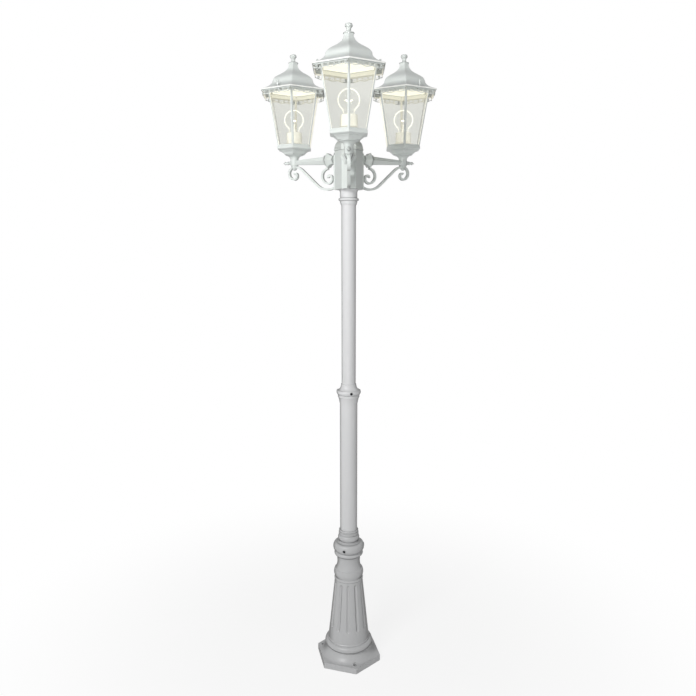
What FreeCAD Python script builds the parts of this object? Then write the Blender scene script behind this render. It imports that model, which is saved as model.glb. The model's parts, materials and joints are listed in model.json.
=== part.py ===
import FreeCAD, Part
import math
import os

# Garden lamp post with three lanterns on arms. Millimetres, +Z up, origin on the pole axis at the foot's underside.
# The front arm points to -Y and the two others stand 120 degrees to each side of it.

# ---------------------------------------------------------------- driving dimensions
# fits
running_gap = 0.08          # radial, a pole turning in its socket
slip_gap = 0.2              # radial, fixed pieces slipped together
seat_gap = 0.3              # between pieces that lift or turn apart

# foot and base casting
foot_corner_radius = 118.0
foot_thickness = 22.0
foot_turn = 13.0            # the casting's corners stand this far round from the front arm
anchor_circle_radius = 98.0
anchor_hole_radius = 5.5
anchor_seat_radius = 11.0
anchor_seat_height = 25.0
torus_radius = 84.5
torus_bottom = 51.0
torus_height = 31.0
cone_foot_radius = 72.5
cone_top_radius = 49.5
cone_top_height = 309.0
band_radius = 52.0
band_rise = 15.0
band_height = 12.0
flare_height = 36.0
neck_radius = 40.0
neck_height = 17.0
clamp_step_height = 17.0
clamp_ring_radius = 55.0
clamp_ring_height = 36.0
lip_height = 46.0
lip_bulge_radius = 37.0
lip_radius = 33.0
base_wall = 8.0
socket_depth = 158.0
flute_count = 12
flute_radius = 6.0
flute_depth = 3.2
flute_bottom = 130.0
flute_top = 288.0

# poles
lower_pole_radius = 30.0
lower_pole_wall = 2.5
upper_pole_radius = 24.0
upper_pole_wall = 2.2
pole_cable_radius = 20.0

# mid collar
collar_bottom = 946.0
collar_height = 65.0
collar_web = 4.0
collar_lower_bore = 22.0
collar_ring_radius = 41.5
collar_tier_radius = 36.7

# set screws
set_screw_radius = 3.0
set_screw_stand = 1.0
set_screw_count = 3

# hub
hub_drop = 96.0             # arm axis to the hub's underside
hub_height = 121.0
hub_corner_radius = 45.0
hub_wall = 3.5
hub_floor = 4.0
cap_corner_radius = 48.0
cap_rim_height = 6.0
cap_dome_height = 34.0
cap_spigot = 6.0
sleeve_length = 49.0
sleeve_radius = 28.3
sleeve_bead_radius = 33.5
pole_in_hub = 34.0

# arms
arm_count = 3
arm_height = 1752.0         # arm axis above the ground
lantern_radius = 212.0      # pole axis to lantern axis
plate_width = 34.0
plate_height = 110.0
plate_thickness = 8.0
arm_root_flats = 44.0
arm_boss_flats = 44.0
arm_boss_offset = 37.0      # hub face to the boss peak
arm_start_flats = 25.0
arm_end_flats = 15.0
eye_radius = 13.0
eye_top = 9.0               # above the arm axis
eye_bottom = 10.5           # below the arm axis
tip_length = 32.0
tip_radius = 6.0
plate_bolt_radius = 3.0
plate_bolt_inset = 18.0

# scrolls, flat bar
scroll_bar = 7.0
scroll_depth = 10.0
s_start_height = 12.0       # above the hub's underside
s_start_slope = -32.0
s_hub_share = 0.3635728     # first bend's radius as a share of plate to lantern
s_steeper = 18.014885       # the rise is so much steeper than the straight way to the lantern
s_lobe_radius = 20.5
s_inner_radius = 12.0
s_curl_radius = 7.5
s_eye_radius = 10.0
c_outer_radius = 24.0
c_inner_radius = 15.0
c_curl_radius = 10.0
c_end_radius = 6.0

# lanterns
stem_radius = 5.0
stem_bore = 3.0
stem_nut_corner = 9.5
stem_nut_height = 7.0
stem_head_radius = 8.0
stem_head_height = 7.5
neck_foot_radius = 13.5
neck_top_radius = 30.0
neck_height_up = 18.0
tray_floor_radius = 38.0
tray_rim_radius = 63.0
tray_height = 24.0
tray_wall = 3.0
tray_ledge_radius = 49.0
body_foot_radius = 61.0
body_head_radius = 94.5
body_height = 181.0
cage_wall = 2.0
cage_leg = 9.0
cage_bottom_rail = 6.0
cage_top_rail = 16.0
pane_thickness = 3.0
eave_overhang = 24.5        # beyond the cage's head
eave_edge = 4.5
brim_rise = 28.0            # eave edge to the dome's foot
dome_foot_inset = 17.5      # inside the cage's head
dome_rise = 62.0
roof_collar_radius = 16.0
roof_collar_height = 5.0
roof_wall = 3.0
brim_seat_width = 9.0
brim_seat_depth = 8.3
valance_inset = 5.0
valance_drop = 25.0
valance_wave = 6.0
valance_thickness = 1.6
scallops_per_side = 3
roof_screw_clearance = 8.1606  # cage wall to the screw's axis
roof_screw_radius = 2.5
roof_screw_head = 4.5
roof_screw_stand = 15.0
lug_width = 12.0
lug_thickness = 3.0
lug_drop = 5.0             # cage top to the lug's top
finial_height = 29.0
finial_ball_radius = 11.0
finial_neck_radius = 5.0
holder_radius = 22.0
holder_height = 34.0
holder_cone_height = 11.0
holder_plate_thickness = 2.0
holder_socket_radius = 13.5
holder_socket_depth = 24.0
bulb_radius = 32.5
bulb_neck_radius = 16.5
bulb_height = 74.0          # holder top to the bulb's crown
cap_screw_radius = 13.2
cap_screw_length = 22.0
glass_wall = 1.2
filament_radius = 2.0

# ---------------------------------------------------------------- places that follow
torus_top = torus_bottom + torus_height
band_bottom = cone_top_height + band_rise
band_top = band_bottom + band_height
flare_top = band_top + flare_height
neck_top = flare_top + neck_height
clamp_ring_bottom = neck_top + clamp_step_height
clamp_ring_top = clamp_ring_bottom + clamp_ring_height
base_top = clamp_ring_top + lip_height
socket_floor = base_top - socket_depth
collar_top = collar_bottom + collar_height
collar_web_bottom = collar_bottom + collar_lower_bore
collar_web_top = collar_web_bottom + collar_web
collar_ring_middle = collar_web_top + 11.0
hub_bottom = arm_height - hub_drop
hub_top = hub_bottom + hub_height
COS30 = math.cos(math.radians(30.0))
hub_face = hub_corner_radius * COS30
plate_face = hub_face + plate_thickness
arm_boss_at = plate_face + arm_boss_offset - plate_thickness
neck_base = arm_height + eye_top
tray_base = neck_base + neck_height_up
body_base = tray_base + tray_height
body_top = body_base + body_height
roof_seat = body_top + seat_gap
eave_radius = body_head_radius + eave_overhang
dome_foot_radius = body_head_radius - dome_foot_inset
valance_radius = eave_radius - valance_inset
roof_screw_offset = body_head_radius * COS30 + roof_screw_clearance
eave_bottom = roof_seat - brim_seat_depth
dome_foot = eave_bottom + brim_rise
roof_top = dome_foot + dome_rise
holder_base = body_base
holder_top = holder_base + holder_plate_thickness + holder_cone_height + holder_height
scroll_eye_top = arm_height - eye_bottom
scroll_line = scroll_eye_top - scroll_bar / 2
stem_head_top = scroll_line - scroll_bar / 2

arm_names = ("front", "right", "left")
UP = FreeCAD.Vector(0, 0, 1)


# ---------------------------------------------------------------- shape helpers
def vec(x, y, z):
    return FreeCAD.Vector(x, y, z)


def polar(radius, angle, z=0.0):
    """Point at an angle counted from the front (-Y), positive towards +X."""
    a = math.radians(angle - 90.0)
    return vec(radius * math.cos(a), radius * math.sin(a), z)


def flat_face(corners):
    return Part.Face(Part.makePolygon(corners + corners[:1]))


def flat_loft(sections):
    """Flat-faced solid through outlines of one corner count whose facing edges are parallel."""
    faces = [flat_face(sections[0]), flat_face(sections[-1])]
    for low, high in zip(sections, sections[1:]):
        for i in range(len(low)):
            j = (i + 1) % len(low)
            faces.append(flat_face([low[i], low[j], high[j], high[i]]))
    shell = Part.Shell(faces)
    shell.sewShape()
    solid = Part.Solid(shell)
    if solid.Volume < 0:
        solid.reverse()
    return solid


def polygon(sides, radius, z, turn=0.0):
    """Corners of a regular polygon, one of them at the front, turned by an angle."""
    return [polar(radius, turn + 360.0 * i / sides, z) for i in range(sides)]


def stack(sides, profile, turn=0.0):
    """Solid through regular polygons, one for each (radius, height) of the profile."""
    return flat_loft([polygon(sides, r, z, turn) for r, z in profile])


def turned(outline):
    """Solid of revolution about Z from a closed outline of (radius, height) points."""
    points = [vec(r, 0, z) for r, z in outline]
    face = Part.Face(Part.makePolygon(points + points[:1]))
    return face.revolve(vec(0, 0, 0), UP, 360)


def rod(radius, z_low, z_high):
    return Part.makeCylinder(radius, z_high - z_low, vec(0, 0, z_low), UP)


def radial_rod(radius, r_in, r_out, angle, z):
    """Cylinder that lies on a radius of the axis."""
    start = polar(r_in, angle, z)
    return Part.makeCylinder(radius, r_out - r_in, start, polar(1.0, angle))


def curve(controls, steps):
    """Points of a Bezier curve through the control polygon."""
    n = len(controls) - 1
    points = []
    for i in range(steps + 1):
        t = i / steps
        weights = [math.comb(n, k) * t**k * (1 - t) ** (n - k) for k in range(n + 1)]
        points.append(tuple(sum(w * c[j] for w, c in zip(weights, controls)) for j in range(2)))
    return points


def turn_about_axis(shape, angle):
    copy = shape.copy()
    copy.rotate(vec(0, 0, 0), UP, angle)
    return copy


def at_lantern(shape, index):
    """Moves a piece made on the pole axis to its lantern, the arm direction turned with it."""
    placed = shape.copy()
    placed.translate(vec(0, -lantern_radius, 0))
    placed.rotate(vec(0, 0, 0), UP, 360.0 * index / arm_count)
    return placed


def around_pole(shape, index):
    return turn_about_axis(shape, 360.0 * index / arm_count)


def write(name, shape):
    shape.exportStep("parts/" + name + ".step")


# ---------------------------------------------------------------- base and poles
def cone_radius(z):
    share = (z - torus_top) / (cone_top_height - torus_top)
    return cone_foot_radius + (cone_top_radius - cone_foot_radius) * share


def flute_cutter():
    """Straight groove with rounded ends, parallel to the cone's surface."""
    low = vec(0, -(cone_radius(flute_bottom) + flute_radius - flute_depth), flute_bottom)
    high = vec(0, -(cone_radius(flute_top) + flute_radius - flute_depth), flute_top)
    run = high.sub(low)
    bar = Part.makeCylinder(flute_radius, run.Length, low, run)
    low_end = Part.makeSphere(flute_radius, low)
    high_end = Part.makeSphere(flute_radius, high)
    return bar.fuse([low_end, high_end]).removeSplitter()


def base_casting():
    plate = stack(
        6,
        [
            (foot_corner_radius, 0.0),
            (foot_corner_radius, foot_thickness),
            (foot_corner_radius - 24.0, foot_thickness + 11.0),
            (torus_radius, torus_bottom + 1.0),
        ],
        foot_turn,
    )
    nose = torus_height / 2
    torus_side = curve(
        [
            (torus_radius - nose, torus_bottom),
            (torus_radius + 4.0, torus_bottom - 1.0),
            (torus_radius + 3.0, torus_bottom + nose * 1.6),
            (torus_radius - nose * 0.5, torus_top - 2.5),
        ],
        8,
    )
    column = turned(
        [(0.0, foot_thickness), (torus_radius - nose, foot_thickness)]
        + torus_side
        + [
            (cone_foot_radius + 2.0, torus_top),
            (cone_foot_radius, torus_top + 3.0),
            (cone_top_radius, cone_top_height),
            (cone_top_radius + 0.5, band_bottom - 6.0),
            (band_radius, band_bottom),
            (band_radius, band_top),
            (band_radius - 3.0, band_top + 6.0),
            (neck_radius + 3.5, flare_top - 14.0),
            (neck_radius + 0.8, flare_top - 4.0),
            (neck_radius, flare_top + 2.0),
            (neck_radius, neck_top),
            (neck_radius + 3.0, neck_top + 5.0),
            (clamp_ring_radius - 4.5, neck_top + 9.0),
            (clamp_ring_radius - 4.5, clamp_ring_bottom - 1.5),
            (clamp_ring_radius - 6.0, clamp_ring_bottom),
            (clamp_ring_radius - 2.0, clamp_ring_bottom + 1.5),
            (clamp_ring_radius, clamp_ring_bottom + 6.0),
            (clamp_ring_radius, clamp_ring_top - 5.0),
            (clamp_ring_radius - 3.0, clamp_ring_top - 1.0),
            (clamp_ring_radius - 8.0, clamp_ring_top),
            (lip_radius + 2.0, clamp_ring_top + 2.0),
            (lip_radius + 1.5, clamp_ring_top + 6.0),
            (lip_bulge_radius, clamp_ring_top + 15.0),
            (lip_bulge_radius, clamp_ring_top + 21.0),
            (lip_radius + 1.5, base_top - 10.0),
            (lip_radius + 1.5, base_top - 5.0),
            (lip_radius, base_top),
            (0.0, base_top),
        ]
    )
    casting = plate.fuse(column)
    cutter = flute_cutter()
    step = 360.0 / flute_count
    flutes = [turn_about_axis(cutter, foot_turn + step * (i + 0.5)) for i in range(flute_count)]
    core = turned(
        [
            (0.0, -1.0),
            (cone_foot_radius - base_wall, -1.0),
            (cone_foot_radius - base_wall, torus_bottom),
            (cone_radius(flute_top) - base_wall, flute_top),
            (pole_cable_radius + 4.0, socket_floor - base_wall),
            (pole_cable_radius + 4.0, socket_floor),
            (lower_pole_radius + running_gap, socket_floor),
            (lower_pole_radius + running_gap, base_top + 1.0),
            (0.0, base_top + 1.0),
        ]
    )
    holes = []
    for i in range(3):
        at = polar(anchor_circle_radius, foot_turn + 120.0 * i, -1.0)
        holes.append(Part.makeCylinder(anchor_hole_radius, torus_bottom, at, UP))
        seat = polar(anchor_circle_radius, foot_turn + 120.0 * i, anchor_seat_height)
        holes.append(Part.makeCylinder(anchor_seat_radius, foot_thickness, seat, UP))
    screws = [
        radial_rod(set_screw_radius + slip_gap, lip_radius - 5.0, clamp_ring_radius + 5.0, a, base_screw_height())
        for a in base_screw_angles()
    ]
    return casting.cut(flutes + holes + screws + [core])


def base_screw_height():
    return (clamp_ring_bottom + clamp_ring_top) / 2


def base_screw_angles():
    return [foot_turn - 30.0 + 360.0 * i / set_screw_count for i in range(set_screw_count)]


def collar_screw_angles():
    return [foot_turn + 360.0 * i / set_screw_count for i in range(set_screw_count)]


def set_screws(pole_radius, ring_radius, angles, z):
    """Headless screws with a hexagon socket, points just clear of the pole."""
    made = []
    for angle in angles:
        start = pole_radius + running_gap + 0.05
        end = ring_radius + set_screw_stand
        body = radial_rod(set_screw_radius, start, end, angle, z)
        socket = stack(6, [(1.6, -2.5), (1.6, 1.0)])
        socket.rotate(vec(0, 0, 0), vec(0, 1, 0), 90)
        socket.rotate(vec(0, 0, 0), UP, angle - 90.0)
        socket.translate(polar(end, angle, z))
        made.append(body.cut(socket))
    return Part.makeCompound(made)


def tube(outer, wall, z_low, z_high):
    return rod(outer, z_low, z_high).cut(rod(outer - wall, z_low - 1.0, z_high + 1.0))


def lower_pole():
    return tube(lower_pole_radius, lower_pole_wall, socket_floor + seat_gap, collar_web_bottom)


def upper_pole():
    return tube(upper_pole_radius, upper_pole_wall, collar_web_top + seat_gap, hub_bottom + pole_in_hub)


def mid_collar():
    lower_bore = lower_pole_radius + slip_gap
    upper_bore = upper_pole_radius + running_gap
    ring_low = collar_ring_middle - 6.0
    ring_high = collar_ring_middle + 6.0
    collar = turned(
        [
            (lower_bore, collar_bottom),
            (lower_pole_radius + 2.0, collar_bottom),
            (collar_tier_radius - 1.2, collar_bottom + 18.0),
            (collar_tier_radius, collar_bottom + 22.0),
            (collar_tier_radius, ring_low - 3.5),
            (collar_tier_radius + 0.8, ring_low - 1.5),
            (collar_ring_radius - 0.5, ring_low),
            (collar_ring_radius, ring_low + 2.0),
            (collar_ring_radius, ring_high - 2.0),
            (collar_ring_radius - 1.5, ring_high),
            (collar_ring_radius - 5.0, ring_high + 2.0),
            (upper_pole_radius + 6.0, ring_high + 8.0),
            (upper_pole_radius + 3.0, ring_high + 15.0),
            (upper_pole_radius + 1.8, collar_top),
            (upper_bore, collar_top),
            (upper_bore, collar_web_top),
            (pole_cable_radius, collar_web_top),
            (pole_cable_radius, collar_web_bottom),
            (lower_bore, collar_web_bottom),
        ]
    )
    inside = upper_pole_radius - 4.0
    screws = [
        radial_rod(set_screw_radius + slip_gap, inside, collar_ring_radius + 5.0, a, collar_ring_middle)
        for a in collar_screw_angles()
    ]
    return collar.cut(screws)


# ---------------------------------------------------------------- hub
def hub_sleeve():
    bore = upper_pole_radius + slip_gap
    bottom = hub_bottom - sleeve_length
    bead = bottom + 17.0
    return turned(
        [
            (bore, bottom),
            (upper_pole_radius + 2.5, bottom),
            (upper_pole_radius + 3.0, bottom + 5.0),
            (sleeve_radius, bottom + 7.0),
            (sleeve_radius + 1.0, bead - 5.0),
            (sleeve_bead_radius, bead - 2.5),
            (sleeve_bead_radius, bead + 2.5),
            (sleeve_radius + 1.0, bead + 5.0),
            (sleeve_radius, bead + 8.0),
            (sleeve_radius, hub_bottom - 12.0),
            (sleeve_radius + 2.0, hub_bottom - 5.0),
            (sleeve_radius + 6.0, hub_bottom),
            (bore, hub_bottom),
        ]
    )


def hub_body():
    """Hexagonal box with a flat face to each arm, open at the top."""
    outer = stack(6, [(hub_corner_radius, hub_bottom), (hub_corner_radius, hub_top)], 30.0)
    room = hub_corner_radius - hub_wall / COS30
    inner = stack(6, [(room, hub_bottom + hub_floor), (room, hub_top + 1.0)], 30.0)
    pole_hole = rod(upper_pole_radius + slip_gap, hub_bottom - 1.0, hub_bottom + hub_floor + 1.0)
    holes = []
    for i in range(arm_count):
        for z in plate_bolt_heights():
            holes.append(radial_rod(plate_bolt_radius + slip_gap, 5.0, plate_face, 360.0 * i / arm_count, z))
    return outer.cut([inner, pole_hole] + holes)


def hub_cap():
    """Hexagonal dome with a rim and a spigot that locates it in the hub."""
    dome = curve(
        [
            (cap_corner_radius - 1.5, hub_top + cap_rim_height),
            (cap_corner_radius - 1.0, hub_top + cap_rim_height + cap_dome_height * 0.6),
            (cap_corner_radius * 0.62, hub_top + cap_rim_height + cap_dome_height * 1.02),
            (6.0, hub_top + cap_rim_height + cap_dome_height),
        ],
        9,
    )
    rim = [(cap_corner_radius - 1.0, hub_top), (cap_corner_radius, hub_top + 1.5)]
    rim.append((cap_corner_radius, hub_top + cap_rim_height - 1.5))
    shell = stack(6, rim + dome, 30.0)
    spigot_radius = hub_corner_radius - hub_wall / COS30 - seat_gap
    spigot = stack(6, [(spigot_radius, hub_top - cap_spigot), (spigot_radius, hub_top)], 30.0)
    return shell.fuse(spigot).removeSplitter()


def plate_bolt_heights():
    middle = hub_bottom + plate_height / 2
    reach = plate_height / 2 - plate_bolt_inset
    return (middle - reach, middle + reach)


def arm_bolts():
    """Bolts from inside the hub into the arm plates."""
    inner_face = hub_face - hub_wall
    made = []
    for i in range(arm_count):
        for z in plate_bolt_heights():
            angle = 360.0 * i / arm_count
            shank = radial_rod(plate_bolt_radius, inner_face - 1.0, plate_face - 2.5, angle, z)
            head = radial_rod(plate_bolt_radius * 1.7, inner_face - 4.0, inner_face, angle, z)
            made.append(shank.fuse(head))
    return Part.makeCompound(made)


# ---------------------------------------------------------------- arms and scrolls
def bar_section(flats, reach):
    """Hexagon across the arm with flat top and bottom, at a distance from the pole axis."""
    radius = flats / 2 / COS30
    points = []
    for i in range(6):
        a = math.radians(60.0 * i)
        points.append(vec(radius * math.cos(a), -reach, arm_height + radius * math.sin(a)))
    return points


def arm():
    """Back plate, flared root, pointed boss, tapering bar and the eye that carries the lantern."""
    plate = Part.makeBox(
        plate_width, plate_thickness, plate_height, vec(-plate_width / 2, -plate_face, hub_bottom)
    )
    sections = [
        (arm_root_flats, plate_face),
        (arm_root_flats * 0.66, plate_face + 6.0),
        (arm_start_flats, plate_face + 12.0),
        (arm_start_flats * 1.25, arm_boss_at - 8.0),
        (arm_boss_flats, arm_boss_at - 1.5),
        (arm_boss_flats, arm_boss_at + 1.5),
        (arm_start_flats * 1.3, arm_boss_at + 7.0),
        (arm_start_flats * 1.2, arm_boss_at + 13.0),
        (arm_start_flats, arm_boss_at + 14.0),
        (arm_end_flats, lantern_radius - eye_radius),
        (arm_end_flats, lantern_radius + eye_radius + 1.0),
    ]
    bar = flat_loft([bar_section(f, reach) for f, reach in sections])
    eye = rod(eye_radius, arm_height - eye_bottom, arm_height + eye_top)
    eye.translate(vec(0, -lantern_radius, 0))
    bore = rod(stem_radius + slip_gap, arm_height - eye_bottom - 1.0, arm_height + eye_top + 1.0)
    bore.translate(vec(0, -lantern_radius, 0))
    holes = [radial_rod(plate_bolt_radius + slip_gap, 5.0, plate_face - 2.0, 0.0, z) for z in plate_bolt_heights()]
    return plate.fuse([bar, eye]).cut([bore] + holes)


def arm_tip():
    """Pointed tip with a small ring, on the arm's end."""
    base = lantern_radius + eye_radius + 1.0
    profile = [
        (tip_radius, 0.0),
        (tip_radius * 1.25, 2.0),
        (tip_radius * 0.8, 5.0),
        (tip_radius, 12.0),
        (tip_radius * 0.55, 20.0),
        (tip_radius * 0.9, 22.0),
        (tip_radius * 0.9, 24.0),
        (tip_radius * 0.45, 26.0),
        (tip_radius * 0.1, tip_length),
    ]
    tip = stack(10, profile)
    tip.rotate(vec(0, 0, 0), vec(1, 0, 0), 90)
    tip.translate(vec(0, -base, arm_height))
    return tip


def bent_bar(start, heading, bends, thickness, depth):
    """Flat bar along straight runs and arcs in the plane of an arm.

    Each bend is (radius, sweep): a positive sweep turns left, a sweep of 0 runs straight for radius.
    Reach is counted from the pole axis, and the bar's sides are the offsets of its middle line.
    """
    half = thickness / 2
    reach, height, angle = start[0], start[1], heading
    left, right = [], []

    def place(r, h):
        return vec(0, -r, h)

    def side(r, h, a, offset):
        t = math.radians(a)
        return place(r - offset * math.sin(t), h + offset * math.cos(t))

    for radius, sweep in bends:
        before = (reach, height, angle)
        if sweep == 0:
            t = math.radians(angle)
            reach += radius * math.cos(t)
            height += radius * math.sin(t)
            for edges, offset in ((left, half), (right, -half)):
                edges.append(Part.LineSegment(side(*before, offset), side(reach, height, angle, offset)).toShape())
            continue
        turn = 1 if sweep > 0 else -1
        t = math.radians(angle + 90.0 * turn)
        centre = (reach + radius * math.cos(t), height + radius * math.sin(t))

        def on_arc(share):
            a = math.radians(before[2] - 90.0 * turn + sweep * share)
            return centre[0] + radius * math.cos(a), centre[1] + radius * math.sin(a), before[2] + sweep * share

        middle, after = on_arc(0.5), on_arc(1.0)
        for edges, offset in ((left, half), (right, -half)):
            edges.append(Part.Arc(side(*before, offset), side(*middle, offset), side(*after, offset)).toShape())
        reach, height, angle = after
    caps = [
        Part.LineSegment(right[0].firstVertex(True).Point, left[0].firstVertex(True).Point).toShape(),
        Part.LineSegment(left[-1].lastVertex(True).Point, right[-1].lastVertex(True).Point).toShape(),
    ]
    outline = Part.Wire(Part.__sortEdges__(left + right + caps))
    bar = Part.Face(outline).extrude(vec(depth, 0, 0))
    bar.translate(vec(-depth / 2, 0, 0))
    return bar


def s_scroll():
    """Long scroll from the arm plate's foot to the lantern stem, ending in a lobe with a curl."""
    start = (plate_face, hub_bottom + s_start_height)
    span, climb = lantern_radius - start[0], scroll_line - start[1]
    first_radius = s_hub_share * span
    low, high = math.radians(s_start_slope), math.atan2(climb, span) + math.radians(s_steeper)
    rise_slope = math.degrees(high)
    reach = start[0] + first_radius * (math.sin(high) - math.sin(low))
    height = start[1] + first_radius * (math.cos(low) - math.cos(high))
    # a straight run and an arc carry the bar from there to the level line under the stem
    across, rise = lantern_radius - reach, scroll_line - height
    s, c = math.sin(high), math.cos(high)
    top_radius = (across * s - rise * c) / (s * s - c * (1 - c))
    run = (across - top_radius * s) / c
    bends = [
        (scroll_bar, 0),
        (first_radius, rise_slope - s_start_slope),
        (run, 0),
        (top_radius, -rise_slope),
        (s_lobe_radius, -180.0),
        (s_inner_radius, -90.0),
        (s_curl_radius, -130.0),
    ]
    tail = (start[0] - scroll_bar * math.cos(low), start[1] - scroll_bar * math.sin(low))
    bar = bent_bar(tail, s_start_slope, bends, scroll_bar, scroll_depth)
    eye = rod(s_eye_radius, scroll_line - scroll_bar / 2, scroll_eye_top)
    hole = rod(stem_radius + slip_gap, scroll_line - scroll_bar, scroll_line + scroll_bar)
    head_seat = rod(stem_head_radius + slip_gap, stem_head_top - stem_head_height - 2.0, stem_head_top)
    for piece in (eye, hole, head_seat):
        piece.translate(vec(0, -lantern_radius, 0))
    plate_side = Part.makeBox(
        plate_width, plate_face, plate_height, vec(-plate_width / 2, -plate_face, hub_bottom - plate_height / 2)
    )
    return bar.fuse(eye).cut([hole, head_seat, plate_side])


def c_scroll():
    """Small closed scroll that hangs from the arm's boss."""
    start = (arm_boss_at, arm_height - arm_boss_flats / 2 - scroll_bar / 2)
    bends = [(c_outer_radius, -180.0), (c_inner_radius, -90.0), (c_curl_radius, -90.0), (c_end_radius, -100.0)]
    return bent_bar(start, 0.0, bends, scroll_bar, scroll_depth)


# ---------------------------------------------------------------- lantern body
def body_radius(z):
    share = (z - body_base) / body_height
    return body_foot_radius + (body_head_radius - body_foot_radius) * share


def stem_fixings():
    """Hollow bolt with a domed head under the scroll, and its nut on the tray floor."""
    top = tray_base + tray_wall + stem_nut_height + 2.0
    shank = rod(stem_radius, stem_head_top, top)
    head = stack(
        12,
        [
            (stem_head_radius * 0.35, stem_head_top - stem_head_height),
            (stem_head_radius * 0.8, stem_head_top - stem_head_height * 0.75),
            (stem_head_radius, stem_head_top - stem_head_height * 0.35),
            (stem_head_radius, stem_head_top),
        ],
    )
    bolt = shank.fuse(head).cut(rod(stem_bore, arm_height - eye_bottom, top + 1.0))
    floor = tray_base + tray_wall
    nut = stack(6, [(stem_nut_corner, floor), (stem_nut_corner, floor + stem_nut_height)])
    nut = nut.cut(rod(stem_radius + slip_gap, floor - 1.0, floor + stem_nut_height + 1.0))
    return Part.makeCompound([bolt, nut])


def lantern_neck():
    """Funnel between the arm's eye and the tray."""
    profile = [
        (neck_foot_radius, neck_base),
        (neck_foot_radius * 0.97, neck_base + 2.0),
        (neck_foot_radius * 1.12, neck_base + 6.0),
        (neck_foot_radius * 1.5, neck_base + 11.0),
        (neck_top_radius, tray_base - 2.0),
        (neck_top_radius, tray_base),
    ]
    return stack(16, profile).cut(rod(stem_radius + slip_gap, neck_base - 1.0, tray_base + 1.0))


def tray():
    """Hexagonal dish with a bead half way up and a flat rim for the cage."""
    outer = [
        (tray_floor_radius - 1.0, tray_base),
        (tray_floor_radius, tray_base + 1.5),
        (tray_floor_radius + 9.0, tray_base + 8.0),
        (tray_floor_radius + 11.5, tray_base + 9.0),
        (tray_floor_radius + 11.5, tray_base + 11.0),
        (tray_floor_radius + 13.5, tray_base + 12.0),
        (tray_rim_radius - 3.0, body_base - 5.0),
        (tray_rim_radius, body_base - 4.0),
        (tray_rim_radius, body_base),
    ]
    inner = [
        (tray_floor_radius - tray_wall - 1.0, tray_base + tray_wall),
        (tray_ledge_radius, body_base - 5.0),
        (tray_ledge_radius, body_base + 1.0),
    ]
    hole = rod(stem_radius + slip_gap, tray_base - 1.0, tray_base + tray_wall + 1.0)
    return stack(6, outer).cut([stack(6, inner), hole])


def cage():
    """Tapered hexagonal shell with a window in each side, and two lugs for the roof screws."""
    outer = stack(6, [(body_foot_radius, body_base), (body_head_radius, body_top)])
    inset = cage_wall / COS30
    slope = (body_head_radius - body_foot_radius) / body_height
    inner = stack(
        6,
        [
            (body_foot_radius - inset - slope, body_base - 1.0),
            (body_head_radius - inset + slope, body_top + 1.0),
        ],
    )
    sill, head = body_base + cage_bottom_rail, body_top - cage_top_rail
    windows = []
    for i in range(6):
        corners = []
        for z, sign in ((sill, -1), (sill, 1), (head, 1), (head, -1)):
            half = body_radius(z) / 2 - cage_leg
            corners.append(vec(sign * half, 0, z))
        windows.append(turn_about_axis(flat_face(corners).extrude(vec(0, -eave_radius, 0)), 30.0 + 60.0 * i))
    shell = outer.cut(inner).cut(windows)
    lugs = []
    lug_bottom = body_top - lug_drop - lug_thickness
    for side in (-1, 1):
        inner_x = body_radius(body_top - lug_drop) * COS30 - cage_wall * 0.5
        length = roof_screw_offset + roof_screw_head - inner_x
        at = vec(side * (inner_x + length / 2) - length / 2, -lug_width / 2, lug_bottom)
        lug = Part.makeBox(length, lug_width, lug_thickness, at)
        hole = rod(roof_screw_radius + seat_gap, lug_bottom - 1.0, lug_bottom + lug_thickness + 1.0)
        hole.translate(vec(side * roof_screw_offset, 0, 0))
        lugs.append(lug.cut(hole))
    return shell.fuse(lugs)


def panes():
    """Six flat panes behind the cage's windows, standing on the tray's ledge."""
    made = []
    low, high = body_base + seat_gap, body_top - seat_gap
    for i in range(6):
        sections = []
        for z in (low, high):
            face_out = body_radius(z) * COS30 - cage_wall * 1.02 - 0.2
            face_in = face_out - pane_thickness
            half = face_in * math.tan(math.radians(30.0)) - 0.6
            places = ((-half, face_out), (half, face_out), (half, face_in), (-half, face_in))
            sections.append([vec(x, -reach, z) for x, reach in places])
        made.append(turn_about_axis(flat_loft(sections), 30.0 + 60.0 * i))
    return Part.makeCompound(made)


# ---------------------------------------------------------------- roof
def roof_curves(inset, lift):
    """Ogee from the brim's foot to the collar, moved in by a wall's thickness."""
    flare = curve(
        [
            (eave_radius - inset, eave_bottom + eave_edge - lift),
            (dome_foot_radius + 9.0 - inset, dome_foot - 15.0 - lift),
            (dome_foot_radius - inset, dome_foot - lift),
        ],
        4,
    )
    ogee = curve(
        [
            (dome_foot_radius - inset, dome_foot - lift),
            (dome_foot_radius - 1.0 - inset, dome_foot + dome_rise * 0.45 - lift),
            (roof_collar_radius + 6.0 - inset, dome_foot + dome_rise * 0.45 - lift),
            (roof_collar_radius - inset, roof_top - lift),
        ],
        9,
    )
    return flare, ogee


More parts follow.
